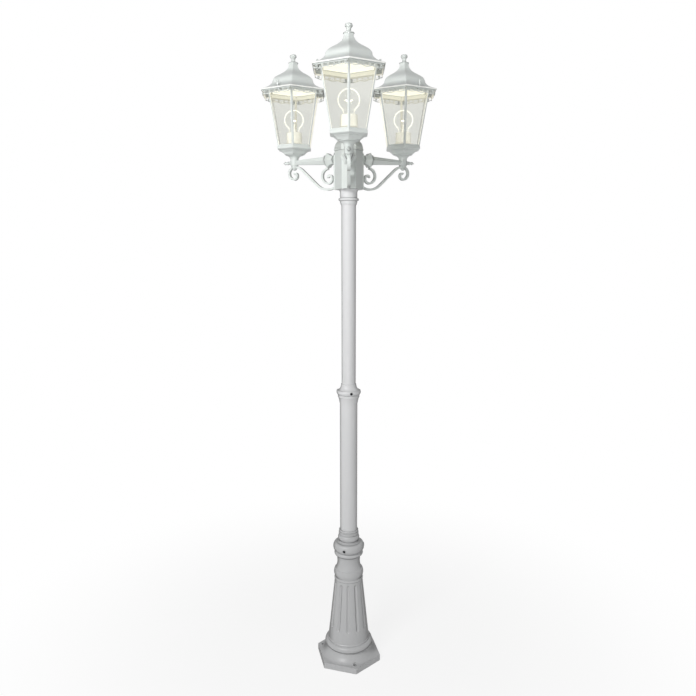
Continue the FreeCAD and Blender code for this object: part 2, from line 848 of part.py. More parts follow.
def roof():
    """Hexagonal ogee shell with a flared brim and a scalloped valance under its edge."""
    flare, ogee = roof_curves(0.0, 0.0)
    profile = [(eave_radius, eave_bottom)] + flare + ogee[1:]
    profile.append((roof_collar_radius, roof_top + roof_collar_height))
    shell = stack(6, profile)
    hollow_flare, hollow_ogee = roof_curves(roof_wall, roof_wall * 0.5)
    inside = [p for p in hollow_flare + hollow_ogee[1:] if body_head_radius - brim_seat_width > p[0] > roof_wall]
    seat_inner = body_head_radius - brim_seat_width
    dome_room = stack(6, [(seat_inner, eave_bottom - 1.0), (seat_inner, roof_seat + 2.0)] + inside)
    brim_room = stack(
        6,
        [
            (eave_radius - roof_wall, eave_bottom - 1.0),
            (eave_radius - roof_wall, eave_bottom + 1.5),
            (body_head_radius + 2.0, roof_seat),
        ],
    )
    screw_holes = []
    for side in (-1, 1):
        hole = rod(roof_screw_radius + 0.1, eave_bottom - 1.0, dome_foot)
        hole.translate(vec(side * roof_screw_offset, 0, 0))
        screw_holes.append(hole)
    shell = shell.cut([dome_room, brim_room])
    return shell.fuse(valance()).cut(screw_holes)


def valance():
    """Six strips with scalloped lower edges, just inside the brim."""
    half = valance_radius / 2 - valance_thickness
    steps = scallops_per_side * 4
    edge = []
    for i in range(steps + 1):
        s = i / steps
        wave = abs(math.sin(math.pi * scallops_per_side * s))
        z = eave_bottom + 1.0 - valance_drop + valance_wave * (1.0 - wave)
        edge.append(vec(-half + 2 * half * s, 0, z))
    top = eave_bottom + 2.5
    outline = edge + [vec(half, 0, top), vec(-half, 0, top)]
    strip = flat_face(outline).extrude(vec(0, -valance_thickness, 0))
    strip.translate(vec(0, -(valance_radius * COS30 - valance_thickness), 0))
    return [turn_about_axis(strip, 30.0 + 60.0 * i) for i in range(6)]


def brim_height(reach):
    """Top of the brim along the middle of a side, at a distance from the lantern axis."""
    flare, _ = roof_curves(0.0, 0.0)
    corner = reach / COS30
    for (r1, z1), (r2, z2) in zip(flare, flare[1:]):
        if r2 <= corner <= r1:
            return z1 + (z2 - z1) * (corner - r1) / (r2 - r1)
    return flare[0][1]


def roof_screws():
    """Two knurled screws that pass through the brim into the cage's lugs."""
    top = brim_height(roof_screw_offset - roof_screw_head) + 0.2
    shank = rod(roof_screw_radius, body_top - lug_drop - lug_thickness - 4.0, top)
    head = stack(
        8,
        [
            (roof_screw_head, top),
            (roof_screw_head, top + roof_screw_stand * 0.4),
            (roof_screw_head * 0.55, top + roof_screw_stand * 0.55),
            (roof_screw_head * 0.8, top + roof_screw_stand * 0.8),
            (roof_screw_head * 0.5, top + roof_screw_stand),
        ],
    )
    screw = shank.fuse(head)
    made = []
    for side in (-1, 1):
        one = screw.copy()
        one.translate(vec(side * roof_screw_offset, 0, 0))
        made.append(one)
    return Part.makeCompound(made)


def finial():
    """Turned knob on the roof's collar."""
    z = roof_top + roof_collar_height
    ball = z + finial_height - finial_ball_radius * 0.9
    profile = [
        (roof_collar_radius + 1.0, z),
        (roof_collar_radius + 1.0, z + 3.0),
        (roof_collar_radius * 0.5, z + 6.0),
        (finial_neck_radius, z + 10.0),
        (finial_neck_radius * 1.3, ball - finial_ball_radius * 0.85),
        (finial_ball_radius * 0.85, ball - finial_ball_radius * 0.5),
        (finial_ball_radius, ball),
        (finial_ball_radius * 0.8, ball + finial_ball_radius * 0.55),
        (finial_ball_radius * 0.2, z + finial_height),
    ]
    return stack(12, profile)


# ---------------------------------------------------------------- light source
def lampholder():
    """Hexagonal foot, cone and screw socket for the bulb."""
    plate_radius = body_radius(body_base) - (cage_wall + pane_thickness) / COS30 - 1.2
    shoulder = holder_base + holder_plate_thickness
    foot = stack(
        6,
        [
            (plate_radius, holder_base),
            (plate_radius, shoulder),
            (holder_radius * 1.1, shoulder + holder_cone_height),
        ],
    )
    barrel = stack(
        16,
        [
            (holder_radius, shoulder + holder_cone_height - 1.0),
            (holder_radius, holder_top - 3.0),
            (holder_radius * 0.93, holder_top),
        ],
    )
    socket = rod(holder_socket_radius, holder_top - holder_socket_depth, holder_top + 1.0)
    wire_way = rod(stem_radius, holder_base - 1.0, holder_top)
    return foot.fuse(barrel).cut([socket, wire_way])


def bulb_profile(inset):
    """Pear shape: neck, shoulder and crown."""
    crown = holder_top + bulb_height
    centre = crown - bulb_radius
    points = []
    for i in range(8):
        a = math.radians(-42.0 + 132.0 * i / 7)
        points.append(((bulb_radius - inset) * math.cos(a) + 0.4, centre + (bulb_radius - inset) * math.sin(a)))
    return [
        (bulb_neck_radius - inset, holder_top + seat_gap + inset),
        (bulb_neck_radius - inset, holder_top + 6.0),
    ] + points


def bulb_glass():
    return stack(16, bulb_profile(0.0)).cut(stack(16, bulb_profile(glass_wall)))


def bulb_cap():
    """Screw cap, standing in the lampholder's socket."""
    low = holder_top - cap_screw_length
    return stack(
        16,
        [
            (cap_screw_radius * 0.4, low),
            (cap_screw_radius * 0.8, low + 3.0),
            (cap_screw_radius, low + 5.0),
            (cap_screw_radius, holder_top + seat_gap),
        ],
    )


def filament():
    """Glass stem with the filament bar across its top."""
    foot = holder_top + seat_gap + glass_wall
    centre = holder_top + bulb_height - bulb_radius
    stem = stack(8, [(filament_radius * 2.5, foot), (filament_radius, foot + 10.0), (filament_radius * 0.8, centre)])
    bar = Part.makeBox(2 * bulb_radius * 0.5, filament_radius, filament_radius,
                       vec(-bulb_radius * 0.5, -filament_radius / 2, centre - filament_radius / 2))
    return stem.fuse(bar)


# ---------------------------------------------------------------- assembly
def main():
    os.makedirs("parts", exist_ok=True)
    write("base_casting", base_casting())
    write("base_set_screws", set_screws(lower_pole_radius, clamp_ring_radius, base_screw_angles(), base_screw_height()))
    write("lower_pole", lower_pole())
    write("mid_collar", mid_collar())
    write("collar_set_screws", set_screws(upper_pole_radius, collar_ring_radius, collar_screw_angles(), collar_ring_middle))
    write("upper_pole", upper_pole())
    write("hub_sleeve", hub_sleeve())
    write("hub_body", hub_body())
    write("hub_cap", hub_cap())
    write("arm_bolts", arm_bolts())
    on_pole = {"arm": arm(), "arm_tip": arm_tip(), "c_scroll": c_scroll(), "s_scroll": s_scroll()}
    on_lantern = {
        "stem_fixings": stem_fixings(),
        "lantern_neck": lantern_neck(),
        "tray": tray(),
        "cage": cage(),
        "panes": panes(),
        "roof": roof(),
        "roof_screws": roof_screws(),
        "finial": finial(),
        "lampholder": lampholder(),
        "bulb_glass": bulb_glass(),
        "bulb_cap": bulb_cap(),
        "filament": filament(),
    }
    for index, side in enumerate(arm_names):
        for piece, shape in on_pole.items():
            write(side + "_" + piece, around_pole(shape, index))
        for piece, shape in on_lantern.items():
            write(side + "_" + piece, at_lantern(shape, index))


main()
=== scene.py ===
import json
import math

import bmesh
import bpy
import numpy as np
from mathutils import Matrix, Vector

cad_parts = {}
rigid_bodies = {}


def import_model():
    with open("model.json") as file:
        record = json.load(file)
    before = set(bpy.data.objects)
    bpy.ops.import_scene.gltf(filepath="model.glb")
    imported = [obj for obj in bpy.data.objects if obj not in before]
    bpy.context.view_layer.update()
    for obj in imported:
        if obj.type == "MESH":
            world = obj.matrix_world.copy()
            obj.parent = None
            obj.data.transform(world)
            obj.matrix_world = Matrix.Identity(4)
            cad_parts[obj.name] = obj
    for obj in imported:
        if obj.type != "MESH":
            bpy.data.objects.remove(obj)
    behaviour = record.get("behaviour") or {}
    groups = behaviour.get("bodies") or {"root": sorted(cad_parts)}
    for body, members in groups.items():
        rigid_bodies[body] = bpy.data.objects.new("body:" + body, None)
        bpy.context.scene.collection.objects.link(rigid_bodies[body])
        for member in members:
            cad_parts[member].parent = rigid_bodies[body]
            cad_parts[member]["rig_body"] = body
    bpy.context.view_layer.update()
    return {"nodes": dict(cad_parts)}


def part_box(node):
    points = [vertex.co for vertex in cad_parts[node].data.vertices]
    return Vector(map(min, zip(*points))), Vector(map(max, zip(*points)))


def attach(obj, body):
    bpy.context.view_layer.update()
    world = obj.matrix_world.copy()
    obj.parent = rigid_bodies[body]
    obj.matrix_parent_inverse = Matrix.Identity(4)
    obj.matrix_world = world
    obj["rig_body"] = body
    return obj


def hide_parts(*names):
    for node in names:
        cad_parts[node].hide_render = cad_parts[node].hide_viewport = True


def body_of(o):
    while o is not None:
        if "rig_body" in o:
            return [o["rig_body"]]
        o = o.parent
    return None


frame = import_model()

# White garden lamp post, three lanterns on arms. Metres, +Z up, the front arm points to -Y.
# Shapes below are given in millimetres and put into the mesh in metres.

mm = 0.001
sides = ("front", "right", "left")
post = {
    "lanternReach": 212.0,      # pole axis to lantern axis
    "hexRound": 70.0,           # how sharp a hexagon's corners are
    "cornerGather": 0.12,       # how closely points gather towards a hexagon's corners
    "stemBore": 5.2,            # hole for the stem bolt
    "around": 72,               # points round a turned piece
}


def cadTop(node):
    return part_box(node)[1].z / mm


def cadFoot(node):
    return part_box(node)[0].z / mm


def bezierPoints(controls, steps):
    # points of a Bezier curve: each control point weighted by its Bernstein term
    c = np.asarray(controls, float)
    n = len(c) - 1
    t = np.linspace(0, 1, steps + 1)[:, None]
    k = np.arange(n + 1)
    choose = np.array([math.comb(n, int(i)) for i in k])
    return (choose * t**k * (1 - t) ** (n - k)) @ c


def turnedOutline(steps, arcPoints=8):
    # (radius, height) points; a third number is how far the way there swings out from straight, as part of a
    # circle: centre + r (cos t * outward + sin t * along), with r = (chord^2 / 4 + bulge^2) / (2 bulge)
    made = [np.array([steps[0][:2]], float)]
    for start, end in zip(steps, steps[1:]):
        a, b = np.array(start[:2], float), np.array(end[:2], float)
        if len(end) == 2:
            made.append(b[None])
            continue
        chord, bulge = np.linalg.norm(b - a), end[2]
        radius = (chord**2 / 4 + bulge**2) / (2 * bulge)
        along = (b - a) / chord
        outward = np.array([along[1], -along[0]])
        half = 2 * math.atan2(2 * bulge, chord)
        t = np.linspace(-half, half, arcPoints)[1:, None]
        centre = (a + b) / 2 + outward * (bulge - radius)
        made.append(centre + radius * (np.cos(t) * outward + np.sin(t) * along))
    return np.vstack(made)


def hexAngles(perSide):
    # angles round the axis, gathered towards the six corners, the first corner at 0
    t = np.linspace(0, 1, perSide, endpoint=False)
    t = t - post["cornerGather"] * np.sin(2 * np.pi * t)
    return ((np.arange(6)[:, None] + t[None, :]) * np.pi / 3).ravel()


def hexShape(angle, sharpness):
    # radius of a unit hexagon with soft corners: one over the p-norm of the distances to its pairs of sides
    normals = np.radians([30.0, 90.0, 150.0])
    reach = np.abs(np.cos(angle[:, None] - normals[None, :]))
    return math.cos(math.pi / 6) / (reach**sharpness).sum(1) ** (1 / sharpness)


def ringGrid(outline, angle, hexShare=0.0, turn=0.0, sharpness=None):
    # rings about Z, one for each (radius, height): radius times a blend of the soft hexagon and the circle,
    # with angle 0 at the front (-Y) and growing towards +X
    p = np.asarray(outline, float)
    share = p[:, 2:3] if p.shape[1] > 2 else np.full((len(p), 1), hexShare)
    shape = share * hexShape(angle, sharpness or post["hexRound"])[None, :] + (1 - share)
    r = p[:, :1] * shape
    a = angle + math.radians(turn)
    z = np.repeat(p[:, 1:2], len(angle), 1)
    return np.stack([r * np.sin(a), -r * np.cos(a), z], -1)


def turnAbout(points, angle):
    c, s = math.cos(angle), math.sin(angle)
    return points @ np.array([[c, s, 0], [-s, c, 0], [0, 0, 1]])


def atLantern(points, index):
    # from the lantern's own axis out along the arm, then round the pole
    return turnAbout(points + [0, -post["lanternReach"], 0], index * 2 * math.pi / 3)


def gridFaces(rows, cols, loop):
    # quads between neighbouring rings; an open stack of rings is closed by a fan at each end
    n = np.arange(rows * cols).reshape(rows, cols)
    low = n if loop else n[:-1]
    high = np.roll(n, -1, 0) if loop else n[1:]
    quads = np.stack([low, np.roll(low, -1, 1), np.roll(high, -1, 1), high], -1).reshape(-1, 4)
    if loop:
        return quads.tolist()
    first, last = rows * cols, rows * cols + 1
    bottom = np.stack([np.full(cols, first), np.roll(n[0], -1), n[0]], -1)
    top = np.stack([np.full(cols, last), n[-1], np.roll(n[-1], -1)], -1)
    return quads.tolist() + bottom.tolist() + top.tolist()


def enclosed(points, faces):
    # volume from the signed tetrahedra over each face's triangles
    total = 0.0
    for size in (3, 4):
        f = np.array([x for x in faces if len(x) == size])
        for i in range(1, size - 1):
            if len(f):
                a, b, c = points[f[:, 0]], points[f[:, i]], points[f[:, i + 1]]
                total += np.einsum("ij,ij->i", a, np.cross(b, c)).sum() / 6
    return total


def solidGrid(grid, loop):
    # points and outward faces of one surface; an open stack of rings gets a middle point at each end
    rows, cols = grid.shape[:2]
    points = grid.reshape(-1, 3)
    if not loop:
        points = np.vstack([points, grid[0].mean(0), grid[-1].mean(0)])
    faces = gridFaces(rows, cols, loop)
    if enclosed(points - points.mean(0), faces) < 0:
        faces = [f[::-1] for f in faces]
    return points, faces


def placed(name, data):
    obj = bpy.data.objects.new(name, data)
    bpy.context.scene.collection.objects.link(obj)
    return obj


inwardLeast = 0.004             # metres: a face's distance from the axis times how far inwards it looks


def litInside(mesh, axis, spread):
    # faces that look towards the upright axis take the second material, with its painted lamp light, where
    # they lie within `spread` degrees of the middle of a hexagon's side
    count = len(mesh.polygons)
    centre, normal = np.empty(count * 3), np.empty(count * 3)
    mesh.polygons.foreach_get("center", centre)
    mesh.polygons.foreach_get("normal", normal)
    out = centre.reshape(-1, 3)[:, :2] - np.array(axis) * mm
    off = np.abs(np.degrees(np.arctan2(out[:, 0], -out[:, 1])) % 60 - 30)
    inward = (out * normal.reshape(-1, 3)[:, :2]).sum(1) < -inwardLeast
    mesh.polygons.foreach_set("material_index", (inward & (off < spread)).astype(int))


def addPiece(name, parts, body, materials, crease, replaced=(), finishOf=None, extra=None,
             axis=None, spread=31.0):
    # parts are (grid, loop) surfaces in millimetres, joined after `extra` points and faces into one mesh in
    # metres; finishOf gives each face of the whole piece its place in the list of materials
    points, faces, offset = [], [], 0
    for flat, own in ([extra] if extra else []) + [solidGrid(grid, loop) for grid, loop in parts]:
        faces += [[i + offset for i in f] for f in own]
        points.append(flat * mm)
        offset += len(flat)
    mesh = bpy.data.meshes.new(name)
    mesh.from_pydata(np.vstack(points), [], faces)
    mesh.polygons.foreach_set("use_smooth", np.ones(len(faces), bool))
    mesh.update()
    obj = placed(name, mesh)
    mesh.set_sharp_from_angle(angle=math.radians(crease))
    for material in materials:
        mesh.materials.append(material)
    if finishOf is not None:
        mesh.polygons.foreach_set("material_index", finishOf)
    if axis is not None:
        litInside(mesh, axis, spread)
    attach(obj, body)
    if replaced:
        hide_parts(*replaced)


casting = {
    "mergeWithin": 1e-6,        # metres
    "flat": 0.5,                # degrees: facets that meet at less become one face
    "crease": 32.0,             # edges sharper than this stay sharp in the shading
    "rounded": 35.0,            # edges sharper than this are rounded
}


def polished(node, material, bevel=0.0):
    # a merged copy of a CAD node with soft shading and, where asked, rounded edges
    source = frame["nodes"][node]
    mesh = source.data.copy()
    mesh.name = node + "Finished"
    work = bmesh.new()
    work.from_mesh(mesh)
    bmesh.ops.remove_doubles(work, verts=work.verts, dist=casting["mergeWithin"])
    flat = math.radians(casting["flat"])
    bmesh.ops.dissolve_limit(work, angle_limit=flat, verts=work.verts, edges=work.edges)
    bmesh.ops.recalc_face_normals(work, faces=work.faces)
    work.to_mesh(mesh)
    work.free()
    obj = placed(mesh.name, mesh)
    mesh.polygons.foreach_set("use_smooth", np.ones(len(mesh.polygons), bool))
    mesh.set_sharp_from_angle(angle=math.radians(casting["crease"]))
    mesh.materials.clear()
    mesh.materials.append(material)
    if bevel:
        edge = obj.modifiers.new("softEdge", "BEVEL")
        edge.width = bevel * mm
        edge.segments = 2
        edge.limit_method = "ANGLE"
        edge.angle_limit = math.radians(casting["rounded"])
        edge.use_clamp_overlap = True
        edge.harden_normals = True
    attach(obj, body_of(source)[0])
    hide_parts(node)


def newGroup(name, inputs, outputs):
    group = bpy.data.node_groups.new(name, "ShaderNodeTree")
    for label, value in inputs:
        kind = "NodeSocketColor" if isinstance(value, tuple) else "NodeSocketFloat"
        socket = group.interface.new_socket(label, in_out="INPUT", socket_type=kind)
        socket.default_value = value
    for label, kind in outputs:
        group.interface.new_socket(label, in_out="OUTPUT", socket_type=kind)
    return group, group.nodes.new("NodeGroupInput"), group.nodes.new("NodeGroupOutput")


def mathNode(tree, operation, *values, clamp=False):
    made = tree.nodes.new("ShaderNodeMath")
    made.operation = operation
    made.use_clamp = clamp
    for socket, value in zip(made.inputs, values):
        if isinstance(value, (int, float)):
            socket.default_value = value
        else:
            tree.links.new(value, socket)
    return made.outputs[0]


def noiseNode(tree, where, detail, scale):
    made = tree.nodes.new("ShaderNodeTexNoise")
    made.inputs["Detail"].default_value = detail
    tree.links.new(where, made.inputs["Vector"])
    if isinstance(scale, float):
        made.inputs["Scale"].default_value = scale
    else:
        tree.links.new(scale, made.inputs["Scale"])
    return made.outputs["Fac"]


def scaledColour(tree, colour, factor):
    made = tree.nodes.new("ShaderNodeVectorMath")
    made.operation = "SCALE"
    tree.links.new(colour, made.inputs[0])
    tree.links.new(factor, made.inputs["Scale"])
    return made.outputs[0]


def smoothRange(tree, value, limits):
    # smooth step between the first two limits, put out between the last two
    made = tree.nodes.new("ShaderNodeMapRange")
    made.interpolation_type = "SMOOTHSTEP"
    for socket, limit in zip(("From Min", "From Max", "To Min", "To Max"), limits):
        made.inputs[socket].default_value = limit
    tree.links.new(value, made.inputs["Value"])
    return made.outputs["Result"]


def backdropRays(tree):
    # 1 for camera, mirror and glass rays
    path = tree.nodes.new("ShaderNodeLightPath")
    seen = mathNode(tree, "ADD", path.outputs["Is Camera Ray"], path.outputs["Is Glossy Ray"])
    return mathNode(tree, "ADD", seen, path.outputs["Is Transmission Ray"], clamp=True)


coatLook = {
    "grainDetail": 2.0, "cloudDetail": 5.0, "cloudScale": 9.0, "speckDetail": 3.0, "speckScale": 160.0,
    "dustShade": 0.5,           # how much of the dust comes off the tone
    "roughLeast": 0.3, "roughSpread": 0.16, "reliefDepth": 0.0004, "coatWeight": 0.15, "coatRoughness": 0.25,
    "paintedShadeFrom": 0.35, "paintedShadeTo": 0.85,               # how far a face turns away while the painted edge shade darkens its coat
    "lampLight": (1.0, 0.95, 0.8, 1.0),             # painted lamp light: emission colour on the inside, where a material glows
}


def coatGroup():
    # powder coat: a fine orange-peel height, slow cloudy tone and rain dust on what faces up
    k = coatLook
    group, into, out = newGroup(
        "powderCoat",
        [("Colour", (0.8, 0.8, 0.8, 1.0)), ("Grain Scale", 900.0), ("Tone Amount", 0.05),
         ("Dust Amount", 0.1)],
        [("Colour", "NodeSocketColor"), ("Height", "NodeSocketFloat"), ("Roughness", "NodeSocketFloat")],
    )
    where = group.nodes.new("ShaderNodeTexCoord").outputs["Object"]
    grain = noiseNode(group, where, k["grainDetail"], into.outputs["Grain Scale"])
    cloud = noiseNode(group, where, k["cloudDetail"], k["cloudScale"])
    speck = noiseNode(group, where, k["speckDetail"], k["speckScale"])
    tone = mathNode(group, "SUBTRACT", cloud, 0.5)
    tone = mathNode(group, "MULTIPLY", tone, into.outputs["Tone Amount"])
    tone = mathNode(group, "ADD", tone, 1.0)
    split = group.nodes.new("ShaderNodeSeparateXYZ")
    group.links.new(group.nodes.new("ShaderNodeNewGeometry").outputs["Normal"], split.inputs[0])
    upward = mathNode(group, "MULTIPLY", split.outputs["Z"], speck, clamp=True)
    dust = mathNode(group, "MULTIPLY", upward, into.outputs["Dust Amount"], clamp=True)
    shade = mathNode(group, "SUBTRACT", tone, mathNode(group, "MULTIPLY", dust, k["dustShade"]))
    rough = mathNode(group, "MULTIPLY_ADD", cloud, k["roughSpread"], k["roughLeast"])
    group.links.new(scaledColour(group, into.outputs["Colour"], shade), out.inputs["Colour"])
    group.links.new(grain, out.inputs["Height"])
    group.links.new(mathNode(group, "ADD", rough, dust, clamp=True), out.inputs["Roughness"])
    return group


coat = coatGroup()


def coatMaterial(name, colour, grainScale=900.0, tone=0.05, dust=0.1, bump=0.12, glow=0.0, rim=0.3):
    # painted shade: the coat darkens to `rim` of its colour where it turns edge-on to the view, as between
    # dark studio flags; `glow` is painted lamp light, given as emission
    k = coatLook
    made = bpy.data.materials.new(name)
    made.use_nodes = True
    tree = made.node_tree
    shader = tree.nodes["Principled BSDF"]
    paint = tree.nodes.new("ShaderNodeGroup")
    paint.node_tree = coat
    values = {"Colour": (*colour, 1.0), "Grain Scale": grainScale, "Tone Amount": tone, "Dust Amount": dust}
    for socket, value in values.items():
        paint.inputs[socket].default_value = value
    relief = tree.nodes.new("ShaderNodeBump")
    relief.inputs["Strength"].default_value = bump
    relief.inputs["Distance"].default_value = k["reliefDepth"]
    # painted shade by view angle: Layer Weight facing scales the base colour down towards `rim`
    edge = tree.nodes.new("ShaderNodeLayerWeight")
    edge.inputs["Blend"].default_value = 0.5
    turned = smoothRange(tree, edge.outputs["Facing"], (k["paintedShadeFrom"], k["paintedShadeTo"], 1.0, rim))
    tree.links.new(scaledColour(tree, paint.outputs["Colour"], turned), shader.inputs["Base Color"])
    tree.links.new(paint.outputs["Roughness"], shader.inputs["Roughness"])
    tree.links.new(paint.outputs["Height"], relief.inputs["Height"])
    tree.links.new(relief.outputs["Normal"], shader.inputs["Normal"])
    shader.inputs["Coat Weight"].default_value = k["coatWeight"]
    shader.inputs["Coat Roughness"].default_value = k["coatRoughness"]
    shader.inputs["Emission Color"].default_value = k["lampLight"]
    shader.inputs["Emission Strength"].default_value = glow
    return made


def plainMaterial(name, colour, roughness, metallic=0.0, transmission=0.0, ior=1.45, glow=None,
                  glowStrength=0.0):
    made = bpy.data.materials.new(name)
    made.use_nodes = True
    shader = made.node_tree.nodes["Principled BSDF"]
    shader.inputs["Base Color"].default_value = (*colour, 1.0)
    shader.inputs["Roughness"].default_value = roughness
    shader.inputs["Metallic"].default_value = metallic
    shader.inputs["Transmission Weight"].default_value = transmission
    shader.inputs["IOR"].default_value = ior
    if glow:
        shader.inputs["Emission Color"].default_value = (*glow, 1.0)
        shader.inputs["Emission Strength"].default_value = glowStrength
    return made


def bulbMaterial(name):
    # clear glass with a painted highlight: emission in the lamp's colour that grows where the glass turns
    # edge-on, standing in for the lit filament caught in its edge
    made = plainMaterial(name, (1.0, 1.0, 0.99), 0.0, transmission=1.0, ior=1.1)
    tree = made.node_tree
    shader = tree.nodes["Principled BSDF"]
    edge = tree.nodes.new("ShaderNodeLayerWeight")
    edge.inputs["Blend"].default_value = 0.35
    ramp = tree.nodes.new("ShaderNodeValToRGB")
    ramp.color_ramp.elements[0].position = 0.35
    ramp.color_ramp.elements[0].color = (0, 0, 0, 1)
    ramp.color_ramp.elements[1].position = 0.95
    ramp.color_ramp.elements[1].color = coatLook["lampLight"]
    tree.links.new(edge.outputs["Facing"], ramp.inputs["Fac"])
    tree.links.new(ramp.outputs["Color"], shader.inputs["Emission Color"])
    shader.inputs["Emission Strength"].default_value = 0.8
    return made


lanternCoat = coatMaterial("lanternCoat", (0.74, 0.78, 0.755), tone=0.05)
# painted lamp light: warmer copies of the coat that glow, for the inside of the roofs, posts and lace
lampLit = coatMaterial("lampLit", (0.76, 0.77, 0.72), tone=0.04, glow=0.75)
postLit = coatMaterial("postLit", (0.76, 0.77, 0.72), tone=0.04, glow=0.6)
laceLit = coatMaterial("laceLit", (0.76, 0.74, 0.66), tone=0.04, glow=0.5)
roofCoat = coatMaterial("roofCoat", (0.74, 0.78, 0.755), tone=0.05, rim=0.75)
# painted highlight: the brims' rolled edges are lighter than the roof and glow a little
brimPaintedHighlight = coatMaterial("brimPaintedHighlight", (0.9, 0.92, 0.9), tone=0.03, glow=0.12, rim=0.8)
poleCoat = coatMaterial("poleCoat", (0.74, 0.745, 0.75), tone=0.03, rim=0.2)
# painted shade: the base casting takes a darker grey copy of the white coat, with a coarser grain
basePaintedShadeCoat = coatMaterial("basePaintedShadeCoat", (0.58, 0.585, 0.59), grainScale=700.0, tone=0.06, bump=0.18, rim=0.08)
scrollCoat = coatMaterial("scrollCoat", (0.74, 0.78, 0.755), tone=0.04)
holeShade = coatMaterial("holeShade", (0.07, 0.07, 0.07), tone=0.1, dust=0.0)     # painted shade: near black for the anchor holes' unlit walls of bare casting
# black steel for the screws and bolts; also the painted shade in the screw seats' mouths
blackSteelAndPaintedShade = plainMaterial("blackSteelAndPaintedShade", (0.02, 0.02, 0.022), 0.4, metallic=0.6)
paneGlass = plainMaterial("paneGlass", (0.835, 0.84, 0.815), 0.02, transmission=1.0, ior=1.35)
bulbClearPaintedEdgeGlow = bulbMaterial("bulbClearPaintedEdgeGlow")
# painted lamp light: the white lampholder glows warm, though it gives no light
holderWhitePaintedGlow = coatMaterial("holderWhitePaintedGlow", (0.86, 0.86, 0.82), tone=0.02, dust=0.02, bump=0.03, glow=0.4)
capMetal = plainMaterial("capMetal", (0.75, 0.74, 0.72), 0.3, metallic=1.0)
# painted lamp light: the glass mount glows warm, though only the filament gives light
mountGlassPaintedGlow = plainMaterial("mountGlassPaintedGlow", (0.97, 0.97, 0.95), 0.3, transmission=0.4, ior=1.1,
                           glow=(1.0, 0.96, 0.85), glowStrength=0.35)
filamentGlow = plainMaterial("filamentGlow", (1.0, 0.92, 0.75), 0.3, glow=(1.0, 0.92, 0.72), glowStrength=3.0)
print("finishes ready")


roofPiece = {
    "eaveRadius": 119.0, "eaveEdge": 4.5, "brimRise": 28.0, "domeRadius": 77.0, "domeRise": 62.0,
    "collarRadius": 16.0, "collarHeight": 5.0, "wall": 3.0, "seatInner": 85.5, "seatOuter": 96.5,
    "seatDepth": 8.3, "perSide": 14,
    "edgeHalfWidth": 2.2, "edgeHalfHeight": 2.4,    # the brim's rolled edge
    "flareOut": 9.0, "flareDrop": 15.0,             # bend of the brim, from the dome's foot
    "ogeeIn": 1.0, "ogeeOut": 6.0, "ogeeRise": 0.45,          # bends of the ogee, the rise as a share
    "crownHole": 1.5, "lipRise": 1.5,
}


def roofEave():
    return cadTop("front_roof") - roofPiece["collarHeight"] - roofPiece["domeRise"] - roofPiece["brimRise"]


def roofGrid():
    # closed loop of (radius, height): round the brim's rolled edge, along flare and ogee, down the inside
    r = roofPiece
    eave = roofEave()
    foot = eave + r["brimRise"]
    top = foot + r["domeRise"]
    crownTop, bend = top + r["collarHeight"], foot + r["domeRise"] * r["ogeeRise"]
    seat = eave + r["seatDepth"]
    dome, collar = r["domeRadius"], r["collarRadius"]
    flare = bezierPoints([(r["eaveRadius"], eave + r["eaveEdge"]),
                          (dome + r["flareOut"], foot - r["flareDrop"]), (dome, foot)], 12)
    ogee = bezierPoints([(dome, foot), (dome - r["ogeeIn"], bend), (collar + r["ogeeOut"], bend),
                         (collar, top)], 28)
    inside = np.vstack([flare, ogee[1:]]) - [r["wall"], r["wall"] * 0.5]
    inside = inside[(inside[:, 0] < r["seatInner"] - 1) & (inside[:, 0] > r["wall"] + 10)][::-1]
    bead = np.radians(np.linspace(-80, 100, 9))
    edge = np.stack([r["eaveRadius"] + r["edgeHalfWidth"] * (np.cos(bead) - 1),
                     eave + r["edgeHalfHeight"] * (np.sin(bead) + 1)], 1)
    crown = [(collar, crownTop), (r["crownHole"], crownTop)]
    closing = [(r["crownHole"], inside[0, 1])]
    under = [(r["seatInner"], seat), (r["seatOuter"], seat),
             (r["eaveRadius"] - r["wall"], eave + r["lipRise"]), (r["eaveRadius"] - r["wall"], eave)]
    loop = np.vstack([edge, flare[2:], ogee[1:], crown, closing, inside, under])
    # second material, with painted lamp light, on the inside; third, a painted highlight, on the rolled edge
    lit = np.zeros(len(loop), int)
    lit[len(edge) + len(flare) - 2 + len(ogee) - 1 + len(crown):-len(under)] = 1
    lit[1:len(edge) - 1] = 2
    grid = ringGrid(loop, hexAngles(r["perSide"]), hexShare=1.0)
    return grid, np.repeat(lit, grid.shape[1])


lacePiece = {
    "reach": 114.0,             # corner radius of the strip under the brim
    "thickness": 1.6, "bandHeight": 4.0, "overlap": 1.0, "drop": 16.0,
    "scallops": 3, "wave": 4.0, "cusp": 0.01,
    "rimWidth": 2.2, "curlWidth": 1.6, "curlRadius": 3.9, "curlEnd": 1.5, "curlTurns": 1.3,
    "curlPlace": 0.24, "curlDepth": 7.4, "curlStart": 1.9,    # share of a scallop, under the eave, radians
    "dropLength": 5.0, "dropWidth": 3.2, "dropTip": 0.4, "dropFlatness": 0.45, "dropRise": 3.0,
    "litSpread": 21.0,
}


def swept(path, across, deep):
    # a line in the (x, z) plane with a ring of points round each step, `across` along the line's normal and
    # `deep` along y
    p = np.asarray(path, float)
    along = np.gradient(p, axis=0)
    along /= np.linalg.norm(along, axis=1, keepdims=True)
    normal = np.stack([-along[:, 1], along[:, 0]], 1)
    flat = p[:, None, :] + normal[:, None, :] * across[None, :, None]
    return np.stack([flat[..., 0], np.broadcast_to(deep, flat.shape[:2]), flat[..., 1]], -1)


def ribbon(path, width, depth):
    # flat bar with its corners cut
    across = np.array([0.5, 0.5, 0.3, -0.3, -0.5, -0.5, -0.3, 0.3]) * width
    deep = np.array([-0.3, 0.3, 0.5, 0.5, 0.3, -0.3, -0.5, -0.5]) * depth
    return swept(path, across, deep)


